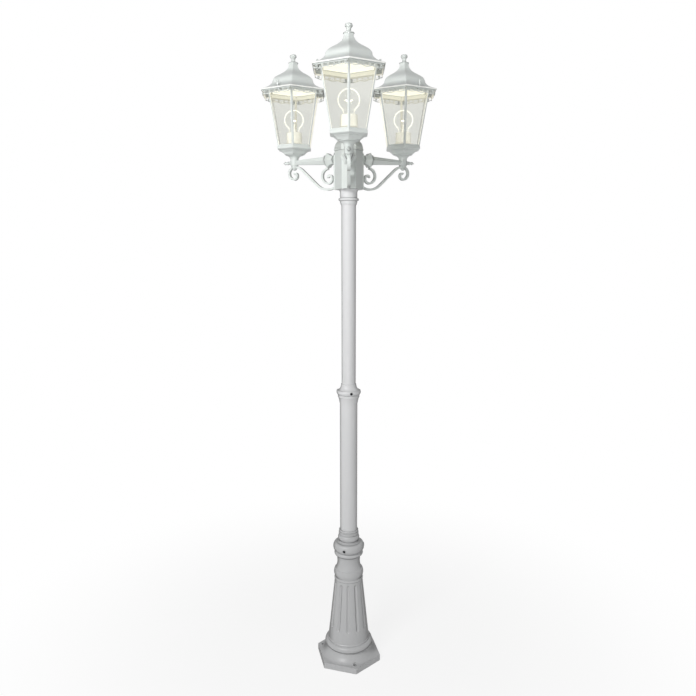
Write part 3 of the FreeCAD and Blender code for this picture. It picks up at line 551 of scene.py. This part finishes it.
def roundWire(path, radius, around=8):
    a = np.linspace(0, 2 * math.pi, around, endpoint=False)
    return swept(path, radius * np.cos(a), radius * np.sin(a))


def curl(centre, startRadius, endRadius, startAngle, turns, steps=22):
    # spiral whose radius shrinks evenly with its angle
    t = np.linspace(0, 1, steps)
    a = startAngle + turns * 2 * math.pi * t
    r = startRadius + (endRadius - startRadius) * t
    return np.stack([centre[0] + r * np.cos(a), centre[1] + r * np.sin(a)], 1)


def laceStrip(eave):
    # one side of the trim: a band under the brim, a rim that hangs in scallops whose height is
    # wave * (1.05 - sqrt(sin^2 + cusp)), and in each scallop two curls and a drop
    k = lacePiece
    half = k["reach"] / 2 - k["thickness"]
    pitch = 2 * half / k["scallops"]
    top = eave + k["overlap"]
    low, bandHeight = top - k["drop"], top - k["bandHeight"] / 2
    band = ribbon([(-half, bandHeight), (half, bandHeight)], k["bandHeight"], k["thickness"])
    u = np.linspace(-half, half, 24 * k["scallops"] + 1)
    hang = np.sqrt(np.sin(math.pi * (u + half) / pitch) ** 2 + k["cusp"])
    scallops = np.stack([u, low + k["rimWidth"] / 2 + k["wave"] * (1.05 - hang)], 1)
    parts = [band, ribbon(scallops, k["rimWidth"], k["thickness"])]
    line = curl((pitch * k["curlPlace"], eave - k["curlDepth"]), k["curlRadius"], k["curlEnd"],
                k["curlStart"], -k["curlTurns"])
    z = np.linspace(0, 1, 9)
    radius = (k["dropWidth"] * np.sin(math.pi * z**0.7) + k["dropTip"]) / 2
    around = np.linspace(0, 2 * math.pi, 10, endpoint=False)
    height = low + k["dropRise"] + (1 - z) * k["dropLength"]
    tear = np.stack([np.outer(radius, np.cos(around)), np.outer(radius, np.sin(around)) * k["dropFlatness"],
                     np.repeat(height[:, None], len(around), 1)], -1)
    for i in range(k["scallops"]):
        middle = -half + pitch * (i + 0.5)
        for mirror in (-1, 1):
            parts.append(ribbon(line * [mirror, 1] + [middle, 0], k["curlWidth"], k["thickness"]))
        parts.append(tear + [middle, 0, 0])
    return parts


def laceParts(eave, index):
    # the strip on each of the roof's six sides
    reach = lacePiece["reach"] * math.cos(math.pi / 6) - lacePiece["thickness"] / 2
    turns = [math.radians(30 + 60 * i) for i in range(6)]
    return [(atLantern(turnAbout(part + [0, -reach, 0], turn), index), False)
            for turn in turns for part in laceStrip(eave)]


for index, side in enumerate(sides):
    shell, glowing = roofGrid()
    addPiece(side + "RoofShell", [(atLantern(shell, index), True)], side + "_roof",
             [roofCoat, lampLit, brimPaintedHighlight], crease=38, replaced=[side + "_roof"], finishOf=glowing)
    addPiece(side + "Lace", laceParts(roofEave(), index), side + "_roof", [lanternCoat, laceLit],
             crease=50, axis=atLantern(np.zeros(3), index)[:2],
             spread=lacePiece["litSpread"])
print("roofs and lace made")

lampPiece = {
    "footGap": 1.5,             # over the glass's mouth
    "coilDrop": 32.5,           # from the glass's top
    "stemFoot": 6.0, "stemTop": 2.2, "stemRise": 26.0,
    "wireRoot": 1.0, "wireSpread": 11.0, "wireRadius": 0.5,
    "coilRadius": 0.9, "coilSag": 3.0, "coilWave": 1.6,
}


def lampInside(foot, middle):
    # pressed glass mount, two wires that spread from it and the coil that hangs in waves between them, at
    # middle - sag * (1 - t^2) + wave * cos(3 pi t)
    k = lampPiece
    mount = bezierPoints([(k["stemFoot"], foot), (k["stemFoot"] * 0.9, foot + 3), (k["stemTop"], foot + 5),
                          (k["stemTop"], foot + k["stemRise"])], 14)
    stem = ringGrid(mount, np.linspace(0, 2 * math.pi, 20, endpoint=False))
    top, spread = foot + k["stemRise"], k["wireSpread"]
    line = bezierPoints([(k["wireRoot"], top - 2), (k["wireRoot"] * 2, top + 6), (spread, middle - 6),
                         (spread, middle)], 12)
    wires = [roundWire(line * [hand, 1], k["wireRadius"]) for hand in (-1, 1)]
    t = np.linspace(-1, 1, 61)
    height = middle - k["coilSag"] * (1 - t**2) + k["coilWave"] * np.cos(t * 3 * math.pi)
    return [stem, *wires, roundWire(np.stack([t * spread, height], 1), k["coilRadius"])]


for index, side in enumerate(sides):
    low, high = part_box(side + "_bulb_glass")
    grids = lampInside(low.z / mm + lampPiece["footGap"], high.z / mm - lampPiece["coilDrop"])
    kinds = [np.full(len(gridFaces(*g.shape[:2], False)), kind) for g, kind in zip(grids, (0, 1, 1, 2))]
    addPiece(side + "LampInside", [(atLantern(grid, index), False) for grid in grids], side + "_bulb",
             [mountGlassPaintedGlow, capMetal, filamentGlow], crease=50, replaced=[side + "_filament"],
             finishOf=np.concatenate(kinds))
print("lamps made")

basePiece = {
    "footCorner": 118.0, "plate": 22.0, "cavity": 64.5,
    "apronRise": 30.0, "apronFoot": 103.0, "apronTop": 74.0,
    "sweep": 2.2, "edgeDip": 1.2, "dipReach": 15.0, "hexSharpness": 200.0, "perSide": 30, "rings": 22,
    "torusRadius": 84.5, "torusBottom": 51.0, "torusTop": 82.0, "torusBulge": 12.0,
    "coneFoot": 72.5, "coneTop": 49.5, "coneHeight": 303.0, "bandLow": 315.0, "bandHigh": 341.0,
    "neckRadius": 40.5, "neckHeight": 376.0, "ringLow": 412.0, "ringHigh": 439.0, "ringRadius": 55.0,
    "lipRadius": 33.5, "lipBulge": 38.0, "top": 488.0,
    "poleBore": 30.08, "socketFloor": 330.0, "cableBore": 24.0, "cavityTop": 43.6,
    "turn": 13.0, "flutes": 12, "fluteRadius": 6.0, "fluteDepth": 3.6, "fluteLow": 130.0, "fluteHigh": 288.0,
    "perFlute": 20,
}
anchorPiece = {
    "count": 3, "reach": 98.0, "hole": 5.5, "seat": 9.0, "seatHeight": 24.5, "under": 2.0, "over": 30.0,
    "around": 40, "darkWithin": 0.02,
}


def footGrid():
    # hexagonal plate whose top sweeps up to the torus: the top's rings go from the hexagon in to the circle,
    # and their height depends on the distance r from the axis alone, plate + rise * (1 - share)^sweep with
    # share along the sweep, so that the plate's edge dips towards its corners
    b = basePiece
    angle = hexAngles(b["perSide"])
    rim = b["footCorner"] * hexShape(angle, b["hexSharpness"])
    t = np.linspace(0, 1, b["rings"])[:, None] ** 0.9
    r = rim[None, :] + (b["apronTop"] - rim[None, :]) * t
    share = np.clip((r - b["apronTop"]) / (b["apronFoot"] - b["apronTop"]), 0, 1)
    dip = b["edgeDip"] * np.clip((r - b["apronFoot"]) / b["dipReach"], 0, 1)
    z = b["plate"] - dip + b["apronRise"] * (1 - share) ** b["sweep"]
    a = angle + math.radians(b["turn"])
    top = np.stack([r * np.sin(a), -r * np.cos(a), z], -1)
    floor = ringGrid([(b["cavity"], 0, 0), (b["footCorner"], 0, 1)], angle, turn=b["turn"],
                     sharpness=b["hexSharpness"])
    high = ringGrid([(b["cavity"], b["plate"] + b["apronRise"], 0)], angle, turn=b["turn"])
    return np.concatenate([floor, top, high])


def drilled(grid):
    # the foot with its anchor holes and their flat seats cut out of the mesh, and 1 for each face in a hole
    k = anchorPiece

    def meshOf(name, points, faces):
        mesh = bpy.data.meshes.new(name)
        mesh.from_pydata(points, [], faces)
        return placed(name, mesh)

    blank = meshOf("footBlank", *solidGrid(grid, True))
    spare = [blank]
    turns = [math.radians(basePiece["turn"] + 360.0 * i / k["count"]) for i in range(k["count"])]
    outline = [(k["hole"], -k["under"]), (k["hole"], k["seatHeight"]), (k["seat"], k["seatHeight"]),
               (k["seat"], k["seatHeight"] + k["over"])]
    drill = ringGrid(outline, np.linspace(0, 2 * math.pi, k["around"], endpoint=False)) + [0, -k["reach"], 0]
    for turn in turns:
        tool = meshOf("drill", *solidGrid(turnAbout(drill, turn), False))
        spare.append(tool)
        cut = blank.modifiers.new("hole", "BOOLEAN")
        cut.operation = "DIFFERENCE"
        cut.solver = "EXACT"
        cut.object = tool
    done = blank.evaluated_get(bpy.context.evaluated_depsgraph_get()).to_mesh()
    points = np.empty(len(done.vertices) * 3)
    done.vertices.foreach_get("co", points)
    faces = [list(f.vertices) for f in done.polygons]
    for obj in spare:
        mesh = obj.data
        bpy.data.objects.remove(obj)
        bpy.data.meshes.remove(mesh)
    points = points.reshape(-1, 3)
    centres = np.array([points[f].mean(0)[:2] for f in faces])
    # faces within a hole take the painted shade
    dark = np.zeros(len(faces), int)
    for turn in turns:
        spot = turnAbout(np.array([0, -k["reach"], 0]), turn)[:2]
        dark |= np.linalg.norm(centres - spot, axis=1) < k["hole"] - k["darkWithin"]
    return (points, faces), dark


def columnGrid():
    # turned column as a closed loop of rings, its bore on the inside, with grooves laid into the cone
    b = basePiece
    wide, neck, ring, lip = b["coneTop"], b["neckRadius"], b["ringRadius"], b["lipRadius"]
    start, edge = b["torusBottom"] - 5, b["torusRadius"] - b["torusBulge"]
    foot = turnedOutline([
        # torus, and the step up to the cone
        (edge, start), (edge, b["torusBottom"]), (edge + 2, b["torusTop"] - 6, b["torusBulge"] - 1),
        (edge + 2, b["torusTop"] - 2.5), (edge, b["torusTop"]), (b["coneFoot"], b["torusTop"] + 2),
    ], 14)
    reach = b["fluteRadius"]
    z = np.concatenate([np.linspace(b["fluteLow"] - reach, b["fluteLow"] + 1, 9),
                        np.linspace(b["fluteLow"] + 8, b["fluteHigh"] - 8, 10),
                        np.linspace(b["fluteHigh"] - 1, b["fluteHigh"] + reach, 9)])
    share = (z - b["torusTop"]) / (b["coneHeight"] - b["torusTop"])
    cone = np.stack([b["coneFoot"] + (wide - b["coneFoot"]) * share, z], 1)
    rise = b["ringHigh"] + 5
    upper = turnedOutline([
        # fillet over the flutes
        (wide, b["coneHeight"]), (wide + 1.3, b["coneHeight"] + 1.5), (wide + 1.3, b["coneHeight"] + 5),
        (wide - 1.2, b["coneHeight"] + 7.5), (wide - 1.2, b["bandLow"] - 2),
        # flared band
        (wide - 0.3, b["bandLow"]), (wide, b["bandHigh"], 2.8), (wide - 3.4, b["bandHigh"] + 2.5),
        # neck, hollow below and above
        (neck, b["neckHeight"], -2.5), (neck + 0.8, b["neckHeight"] + 13),
        (ring - 9, b["ringLow"] - 19, -1.0),
        # bead under the clamp ring
        (ring - 7.5, b["ringLow"] - 17.5), (ring - 7, b["ringLow"] - 6, 2.8), (ring - 10, b["ringLow"] - 4),
        (ring - 10, b["ringLow"] - 0.5),
        # clamp ring and its sunk shoulder
        (ring - 3.8, b["ringLow"] + 0.5), (ring - 3.4, b["ringHigh"] - 3, 3.3), (ring - 5.5, b["ringHigh"]),
        (ring - 13, b["ringHigh"] + 2, 0.8),
        # bulge round the pole
        (lip, rise, -1.0), (lip - 0.5, rise + 3), (lip + 1, rise + 23, b["lipBulge"] - lip - 0.5),
        (lip - 2, rise + 25), (lip - 2, rise + 27),
        # two narrow rings, one over the other
        (lip + 1.6, rise + 28), (lip + 1.6, rise + 33), (lip - 1.5, rise + 34.5), (lip - 1.5, rise + 36.5),
        (lip + 0.5, rise + 38), (lip + 0.3, b["top"] - 2), (lip - 1, b["top"]),
    ])
    bore = [(b["poleBore"], b["top"]), (b["poleBore"], b["socketFloor"]), (b["cableBore"], b["socketFloor"]),
            (b["cableBore"], b["socketFloor"] - 8), (b["cavityTop"], b["fluteHigh"]),
            (b["cavity"], b["torusBottom"]), (b["cavity"], start)]
    rows = np.vstack([foot, cone, upper, bore])
    angle = np.linspace(0, 2 * math.pi, b["flutes"] * b["perFlute"], endpoint=False)
    grid = ringGrid(rows, angle, turn=b["turn"])
    # groove depth: a ball-ended bar's circle under the surface, sqrt(R^2 - across^2 - past^2) - (R - depth)
    pitch = 2 * math.pi / b["flutes"]
    across = ((angle / pitch) % 1.0 - 0.5)[None, :] * pitch * rows[:, :1]
    past = np.maximum(0, np.maximum(b["fluteLow"] - rows[:, 1:2], rows[:, 1:2] - b["fluteHigh"]))
    depth = np.sqrt(np.maximum(0, reach**2 - across**2 - past**2)) - (reach - b["fluteDepth"])
    depth = np.maximum(0, depth) / rows[:, :1]
    outside = slice(len(foot), len(foot) + len(cone))
    grid[outside, :, :2] *= 1 - depth[outside, :, None]
    return grid


foot, inHole = drilled(footGrid())
column = columnGrid()
addPiece("baseColumn", [(column, True)], "base", [basePaintedShadeCoat, holeShade], crease=28, replaced=["base_casting"],
         extra=foot, finishOf=np.concatenate([inHole, np.zeros(column.shape[0] * column.shape[1], int)]))

def turnedGrid(steps, arcPoints=8):
    angle = np.linspace(0, 2 * math.pi, post["around"], endpoint=False)
    return ringGrid(turnedOutline(steps, arcPoints), angle)


collarPiece = {
    "bore": 24.08, "socket": 30.2, "step": 22.0, "cableBore": 20.0,
    "foot": 31.5, "tier": 36.7, "middle": 37.0, "ring": 41.5, "sweep": 26.8, "end": 25.5,
}
sleevePiece = {
    "bore": 24.2, "foot": 26.0, "radius": 28.3, "fillet": 29.1, "flare": 4.5,
    "bead": 33.5, "beadMiddle": 17.0,
}


def collarGrid():
    # tapered lower tier, a narrow step, the rim ring and a hollow sweep up to the slimmer pole
    k, low, top = collarPiece, cadFoot("mid_collar"), cadTop("mid_collar")
    ring, tier, step, middle = k["ring"], k["tier"], low + k["step"], low + k["middle"]
    return turnedGrid([
        (k["socket"], low), (k["foot"], low), (tier - 1, low + 18, -0.8), (tier + 0.2, low + 19.5),
        (tier + 0.2, middle - 10.5), (tier - 1.0, middle - 9.5), (tier + 1.8, middle - 8.3),
        (tier + 1.8, middle - 7.2), (tier + 0.6, middle - 6.4), (ring - 1.5, middle - 5.8),
        (ring - 1.5, middle + 6, 1.5), (ring - 5, middle + 7.0), (k["sweep"], top - 7, -2.2),
        (k["end"], top), (k["bore"], top), (k["bore"], step + 4), (k["cableBore"], step + 4),
        (k["cableBore"], step), (k["socket"], step)])


def sleeveGrid():
    # plain foot, a bead between two fillets and a flare under the hub
    k, low, top = sleevePiece, cadFoot("hub_sleeve"), cadTop("hub_sleeve")
    middle, radius, fillet = low + k["beadMiddle"], k["radius"], k["fillet"]
    return turnedGrid([
        (k["bore"], low), (k["foot"], low), (k["foot"] + 0.6, low + 4), (radius - 0.3, low + 6),
        (radius - 0.4, middle - 5.5), (fillet, middle - 4.8), (fillet, middle + 4.8, k["bead"] - fillet),
        (radius - 0.4, middle + 5.6), (radius, middle + 8), (radius, top - 14),
        (radius + k["flare"], top, -1.5), (k["bore"], top)], 12)


seatPiece = {
    "count": 3, "rim": 5.6, "wire": 1.0, "flatness": 0.8, "sink": 0.3, "around": 28, "aroundWire": 10,
    "mouth": 4.8, "mouthBack": 3.0, "mouthFront": 0.15,
}


def screwSeats(startAngle, radius, height):
    # a raised rim round each set screw, and a black disc in the mouth of its hole as painted shade
    k = seatPiece
    a = np.linspace(0, 2 * math.pi, k["around"], endpoint=False)
    t = np.linspace(0, 2 * math.pi, k["aroundWire"], endpoint=False)

    def rings(r, y):
        r, y = np.asarray(r)[:, None], np.broadcast_to(np.asarray(y)[:, None], (len(y), len(a)))
        return np.stack([r * np.cos(a), y, height + r * np.sin(a)], -1)

    rim = rings(k["rim"] + k["wire"] * np.cos(t), -radius + k["sink"] + k["wire"] * k["flatness"] * np.sin(t))
    # painted shade: a black disc, slightly proud, stands for the shaded mouth of the hole
    mouth = rings([k["mouth"]] * 2, [-radius + k["mouthBack"], -radius - k["mouthFront"]])
    turns = [math.radians(startAngle + 360.0 * i / k["count"]) for i in range(k["count"])]
    seats = [(turnAbout(rim, turn), True) for turn in turns]
    seats += [(turnAbout(mouth, turn), False) for turn in turns]
    return seats, [0] * (k["count"] * len(t) * len(a)) + [1] * (k["count"] * 3 * len(a))


addPiece("collarTurned", [(collarGrid(), True)], body_of(frame["nodes"]["mid_collar"])[0], [poleCoat],
         crease=30, replaced=["mid_collar"])
addPiece("sleeveTurned", [(sleeveGrid(), True)], body_of(frame["nodes"]["hub_sleeve"])[0], [poleCoat],
         crease=30, replaced=["hub_sleeve"])
# first screw's angle, radius and height of the seats
for name, node, start, radius, height, coatOf in (
        ("baseSeats", "base_set_screws", -17.0, 55.0, 424.0, basePaintedShadeCoat),
        ("collarSeats", "collar_set_screws", 13.0, 41.4, 983.0, poleCoat)):
    seats, kinds = screwSeats(start, radius, height)
    addPiece(name, seats, body_of(frame["nodes"][node])[0], [coatOf, blackSteelAndPaintedShade], crease=60,
             finishOf=kinds)
print("turned castings made")

neckPiece = {"foot": 13.5, "top": 30.0}
trayPiece = {
    "floor": 38.0, "bead": 49.5, "rim": 63.0, "rimHeight": 9.0, "ledge": 49.0, "wall": 3.0,
    "sharpness": 260.0, "perSide": 6,
}
cagePiece = {
    "foot": 61.0, "head": 94.5, "wall": 2.0, "leg": 4.6, "lowRail": 4.5, "topRail": 12.0,
    "lugWidth": 12.0, "lugThickness": 3.0, "lugDrop": 8.0, "lugReach": 94.5,
}
finialPiece = {"foot": 16.0, "neck": 6.3, "knob": 11.2, "middle": 0.02}
holderPiece = {"bore": 5.0, "plate": 54.0, "sleeve": 25.0, "socket": 13.6, "socketDepth": 24.0, "perSide": 12}
bulbPiece = {"radius": 32.5, "neck": 16.5, "meets": -42.0, "wall": 0.9, "around": 64}


def neckGrid(low, top):
    # round foot that flares in a hollow to a plate under the tray
    k, bore = neckPiece, post["stemBore"]
    return turnedGrid([(bore, low), (k["foot"], low), (k["foot"], low + 2), (k["top"] - 1, top - 3, -3.5),
                       (k["top"], top - 2), (k["top"], top), (bore, top)], 10)


def trayGrid(low, top):
    # hexagonal dish with a bead half way up and an upright rim; the third number is the share of hexagon
    k, bore = trayPiece, post["stemBore"]
    foot, bead, inner = top - k["rimHeight"], k["bead"], low + k["wall"]
    rows = [(bore, low, 0), (k["floor"] - 1, low, 1), (k["floor"], low + 1.5, 1),
            (bead - 2.5, foot - 6, 1), (bead, foot - 5.2, 1), (bead, foot - 3.8, 1), (bead + 2, foot - 3, 1),
            (k["rim"] - 2, foot - 0.5, 1), (k["rim"], foot + 1, 1), (k["rim"], top - 1, 1),
            (k["rim"] - 0.8, top, 1), (k["ledge"], top, 1), (k["ledge"], top - 5, 1),
            (k["floor"] - 4, inner, 1), (bore, inner, 0)]
    return ringGrid(rows, hexAngles(k["perSide"]), sharpness=k["sharpness"])


def upright(outline, heights):
    # the same (x, y) outline at each height
    return np.array([np.column_stack([outline, np.full(len(outline), z)]) for z in heights])


def cageParts(low, top):
    # six angle posts as two leaning flats each, a rail at the foot and at the head, two ears for the screws
    k = cagePiece
    cos30, sin30 = math.cos(math.pi / 6), math.sin(math.pi / 6)
    inset = k["wall"] / cos30

    def reach(z):
        return k["foot"] + (k["head"] - k["foot"]) * (z - low) / (top - low)

    corners = np.arange(6) * math.pi / 3
    rails = []
    for start, end in ((low, low + k["lowRail"]), (top - k["topRail"], top)):
        rows = [(reach(start) - inset, start), (reach(start), start), (reach(end), end),
                (reach(end) - inset, end)]
        rails.append((ringGrid(rows, corners, hexShare=1.0), True))
    posts = []
    heights = (low + k["lowRail"] / 2, top - k["topRail"] / 2)
    for turn in corners:
        for hand in (-1, 1):
            along = np.array([hand * cos30, sin30]) * k["leg"]
            inward = np.array([-hand * sin30, cos30]) * k["wall"]
            flat = upright([[0, 0], along, along + inward, [0, inset]], heights)
            flat[..., 1] -= [[reach(z)] for z in heights]
            posts.append((turnAbout(flat, turn), False))
    lug = top - k["lugDrop"]
    inner, outer, half = reach(lug) * cos30 - 1.0, k["lugReach"], k["lugWidth"] / 2
    flat = [[inner, -half], [outer, -half], [outer, half], [inner, half]]
    ear = upright(flat, (lug, lug + k["lugThickness"]))
    return rails + posts + [(ear * [hand, 1, 1], False) for hand in (-1, 1)]


def finialGrid(low, top):
    # flared foot, slim neck, a cup and a flat knob
    k = finialPiece
    neck, knob = k["neck"], k["knob"] - 1.8
    return turnedGrid([(k["middle"], low), (k["foot"], low), (k["foot"] - 1, low + 2.5, 0.6),
                       (neck, low + 9, -2.0), (neck, low + 12), (knob + 1.2, top - 10, -0.6),
                       (knob, top - 4, 1.2), (knob, top - 2.5), (k["middle"], top, 0.6)], 10)


def holderGrid(low, top):
    # hexagonal plate that rises in a cone to a round sleeve with the socket in it
    k = holderPiece
    sleeve, floor = k["sleeve"], top - k["socketDepth"]
    rows = [(k["bore"], low, 0), (k["plate"], low, 1), (k["plate"], low + 2, 1), (sleeve + 3, low + 12, 0.4),
            (sleeve, low + 13.5, 0), (sleeve, top - 2.5, 0), (sleeve - 0.8, top - 0.7, 0),
            (sleeve - 2.5, top, 0), (k["socket"], top, 0), (k["socket"], floor, 0), (k["bore"], floor, 0)]
    return ringGrid(rows, hexAngles(k["perSide"]))


def bulbGrid(low, top):
    # pear: a ball on a neck that flares into it, outside up and then inside down
    k = bulbPiece

    def pear(inset):
        radius, centre = k["radius"] - inset, top - k["radius"]
        neck, foot = k["neck"] - inset, low + inset
        a = np.linspace(math.radians(k["meets"]), math.pi / 2 - 0.001, 26)
        ball = np.stack([radius * np.cos(a), centre + radius * np.sin(a)], 1)
        stem = turnedOutline([(neck, foot), (neck, low + 6), (ball[0, 0], ball[0, 1], -1.6)])
        return np.vstack([stem[:-1], ball])

    rows = np.vstack([pear(0.0), pear(k["wall"])[::-1]])
    return ringGrid(rows, np.linspace(0, 2 * math.pi, k["around"], endpoint=False))


for index, side in enumerate(sides):
    for part, grid, material, crease in (
            ("lantern_neck", neckGrid, roofCoat, 30), ("tray", trayGrid, roofCoat, 24),
            ("finial", finialGrid, lanternCoat, 34), ("lampholder", holderGrid, holderWhitePaintedGlow, 34),
            ("bulb_glass", bulbGrid, bulbClearPaintedEdgeGlow, 70)):
        node = side + "_" + part
        made = grid(cadFoot(node), cadTop(node))
        addPiece(node + "Turned", [(atLantern(made, index), True)], body_of(frame["nodes"][node])[0],
                 [material], crease=crease, replaced=[node])
    node = side + "_cage"
    parts = [(atLantern(grid, index), loop) for grid, loop in cageParts(cadFoot(node), cadTop(node))]
    addPiece(node + "Posts", parts, body_of(frame["nodes"][node])[0], [lanternCoat, postLit], crease=25,
             replaced=[node], axis=atLantern(np.zeros(3), index)[:2])
print("lantern houses made")

finishes = {
    "lower_pole": (poleCoat, 0), "upper_pole": (poleCoat, 0),
    "hub_body": (lanternCoat, 1.2), "hub_cap": (lanternCoat, 1.0),
}
for name, (material, bevel) in finishes.items():
    polished(name, material, bevel)
for side in sides:
    for part, bevel in (("arm", 1.0), ("arm_tip", 0.0), ("c_scroll", 1.2), ("s_scroll", 1.2),
                        ("stem_fixings", 0.0), ("roof_screws", 0.4)):
        polished(side + "_" + part, scrollCoat if "scroll" in part else lanternCoat, bevel)
looks = {"arm_bolts": blackSteelAndPaintedShade, "base_set_screws": blackSteelAndPaintedShade, "collar_set_screws": blackSteelAndPaintedShade}
for side in sides:
    looks.update({side + "_panes": paneGlass, side + "_bulb_cap": capMetal})
for name, material in looks.items():
    mesh = frame["nodes"][name].data
    mesh.materials.clear()
    mesh.materials.append(material)
print("castings finished")


stageParts = {
    "floorSize": 60.0, "floorDrop": 0.001, "nearWhite": 0.84, "nearReach": 0.3, "farReach": 1.6,
    "underFoot": 0.1015,        # within this distance of the pole's axis the floor is not white
    "worldLight": 0.26,         # strength on the object, while the backdrop is seen at 1
}


def stageMaterial(name):
    # white for camera, mirror and glass rays, mixed near the foot with a lit white that takes the shadow
    k = stageParts
    made = bpy.data.materials.new(name)
    made.use_nodes = True
    tree = made.node_tree
    tree.nodes.clear()
    out = tree.nodes.new("ShaderNodeOutputMaterial")
    lit = tree.nodes.new("ShaderNodeBsdfDiffuse")
    lit.inputs["Color"].default_value = (0.9, 0.9, 0.9, 1)
    white = tree.nodes.new("ShaderNodeEmission")
    white.inputs["Color"].default_value = (1, 1, 1, 1)
    distance = tree.nodes.new("ShaderNodeVectorMath")
    distance.operation = "LENGTH"
    tree.links.new(tree.nodes.new("ShaderNodeTexCoord").outputs["Object"], distance.inputs[0])
    away = distance.outputs["Value"]
    share = smoothRange(tree, away, (k["nearReach"], k["farReach"], k["nearWhite"], 1.0))
    seen = mathNode(tree, "MULTIPLY", backdropRays(tree), share)
    seen = mathNode(tree, "MULTIPLY", seen, mathNode(tree, "GREATER_THAN", away, k["underFoot"]))
    blend = tree.nodes.new("ShaderNodeMixShader")
    for value, socket in zip((seen, lit.outputs[0], white.outputs[0]), blend.inputs):
        tree.links.new(value, socket)
    tree.links.new(blend.outputs[0], out.inputs["Surface"])
    return made


half, drop = stageParts["floorSize"] / 2, stageParts["floorDrop"]
floorMesh = bpy.data.meshes.new("floor")
corners = [(-half, -half, -drop), (half, -half, -drop), (half, half, -drop), (-half, half, -drop)]
floorMesh.from_pydata(corners, [], [(0, 1, 2, 3)])
floorMesh.materials.append(stageMaterial("floorWhite"))
obj = placed("floor", floorMesh)

world = bpy.data.worlds.new("studio")
bpy.context.scene.world = world
world.use_nodes = True
tree = world.node_tree
backdrop = tree.nodes["Background"]
worldLight = stageParts["worldLight"]
level = mathNode(tree, "MULTIPLY_ADD", backdropRays(tree), 1.0 - worldLight, worldLight)
backdrop.inputs["Color"].default_value = (1, 1, 1, 1)
tree.links.new(level, backdrop.inputs["Strength"])

lamps = {
    "key": {"place": (-1.7, -2.7, 3.0), "aim": (0, 0, 1.3), "size": 1.4, "power": 78.0},
    "low": {"place": (-0.5, -2.6, 0.6), "aim": (0, 0, 1.95), "size": 0.8, "power": 1.3, "spread": 50.0},
    "fill": {"place": (2.4, -2.2, 2.4), "aim": (0, 0, 1.5), "size": 1.6, "power": 8.0},
}
for name, lamp in lamps.items():
    data = bpy.data.lights.new(name, "AREA")
    data.size = lamp["size"]
    data.energy = lamp["power"]
    data.spread = math.radians(lamp.get("spread", 180.0))
    obj = placed(name, data)
    obj.location = lamp["place"]
    aim = np.array(lamp["aim"]) - np.array(lamp["place"])
    flat = math.hypot(aim[0], aim[1])
    obj.rotation_euler = (math.atan2(flat, -aim[2]), 0, math.atan2(-aim[0], aim[1]))

view = {
    "place": (-0.0023, -2.1954, 1.4884), "pitch": 0.1602, "sensor": 36.0,
    "focalPixels": 657.6157, "imagePixels": 696,
}
camera = bpy.data.cameras.new("camera")
camera.sensor_width = view["sensor"]
camera.lens = camera.sensor_width * view["focalPixels"] / view["imagePixels"]
eye = placed("camera", camera)
eye.location = view["place"]
eye.rotation_euler = (math.pi / 2 - view["pitch"], 0, 0)
bpy.context.scene.camera = eye
bpy.context.scene.view_settings.view_transform = "Standard"
print("stage ready")
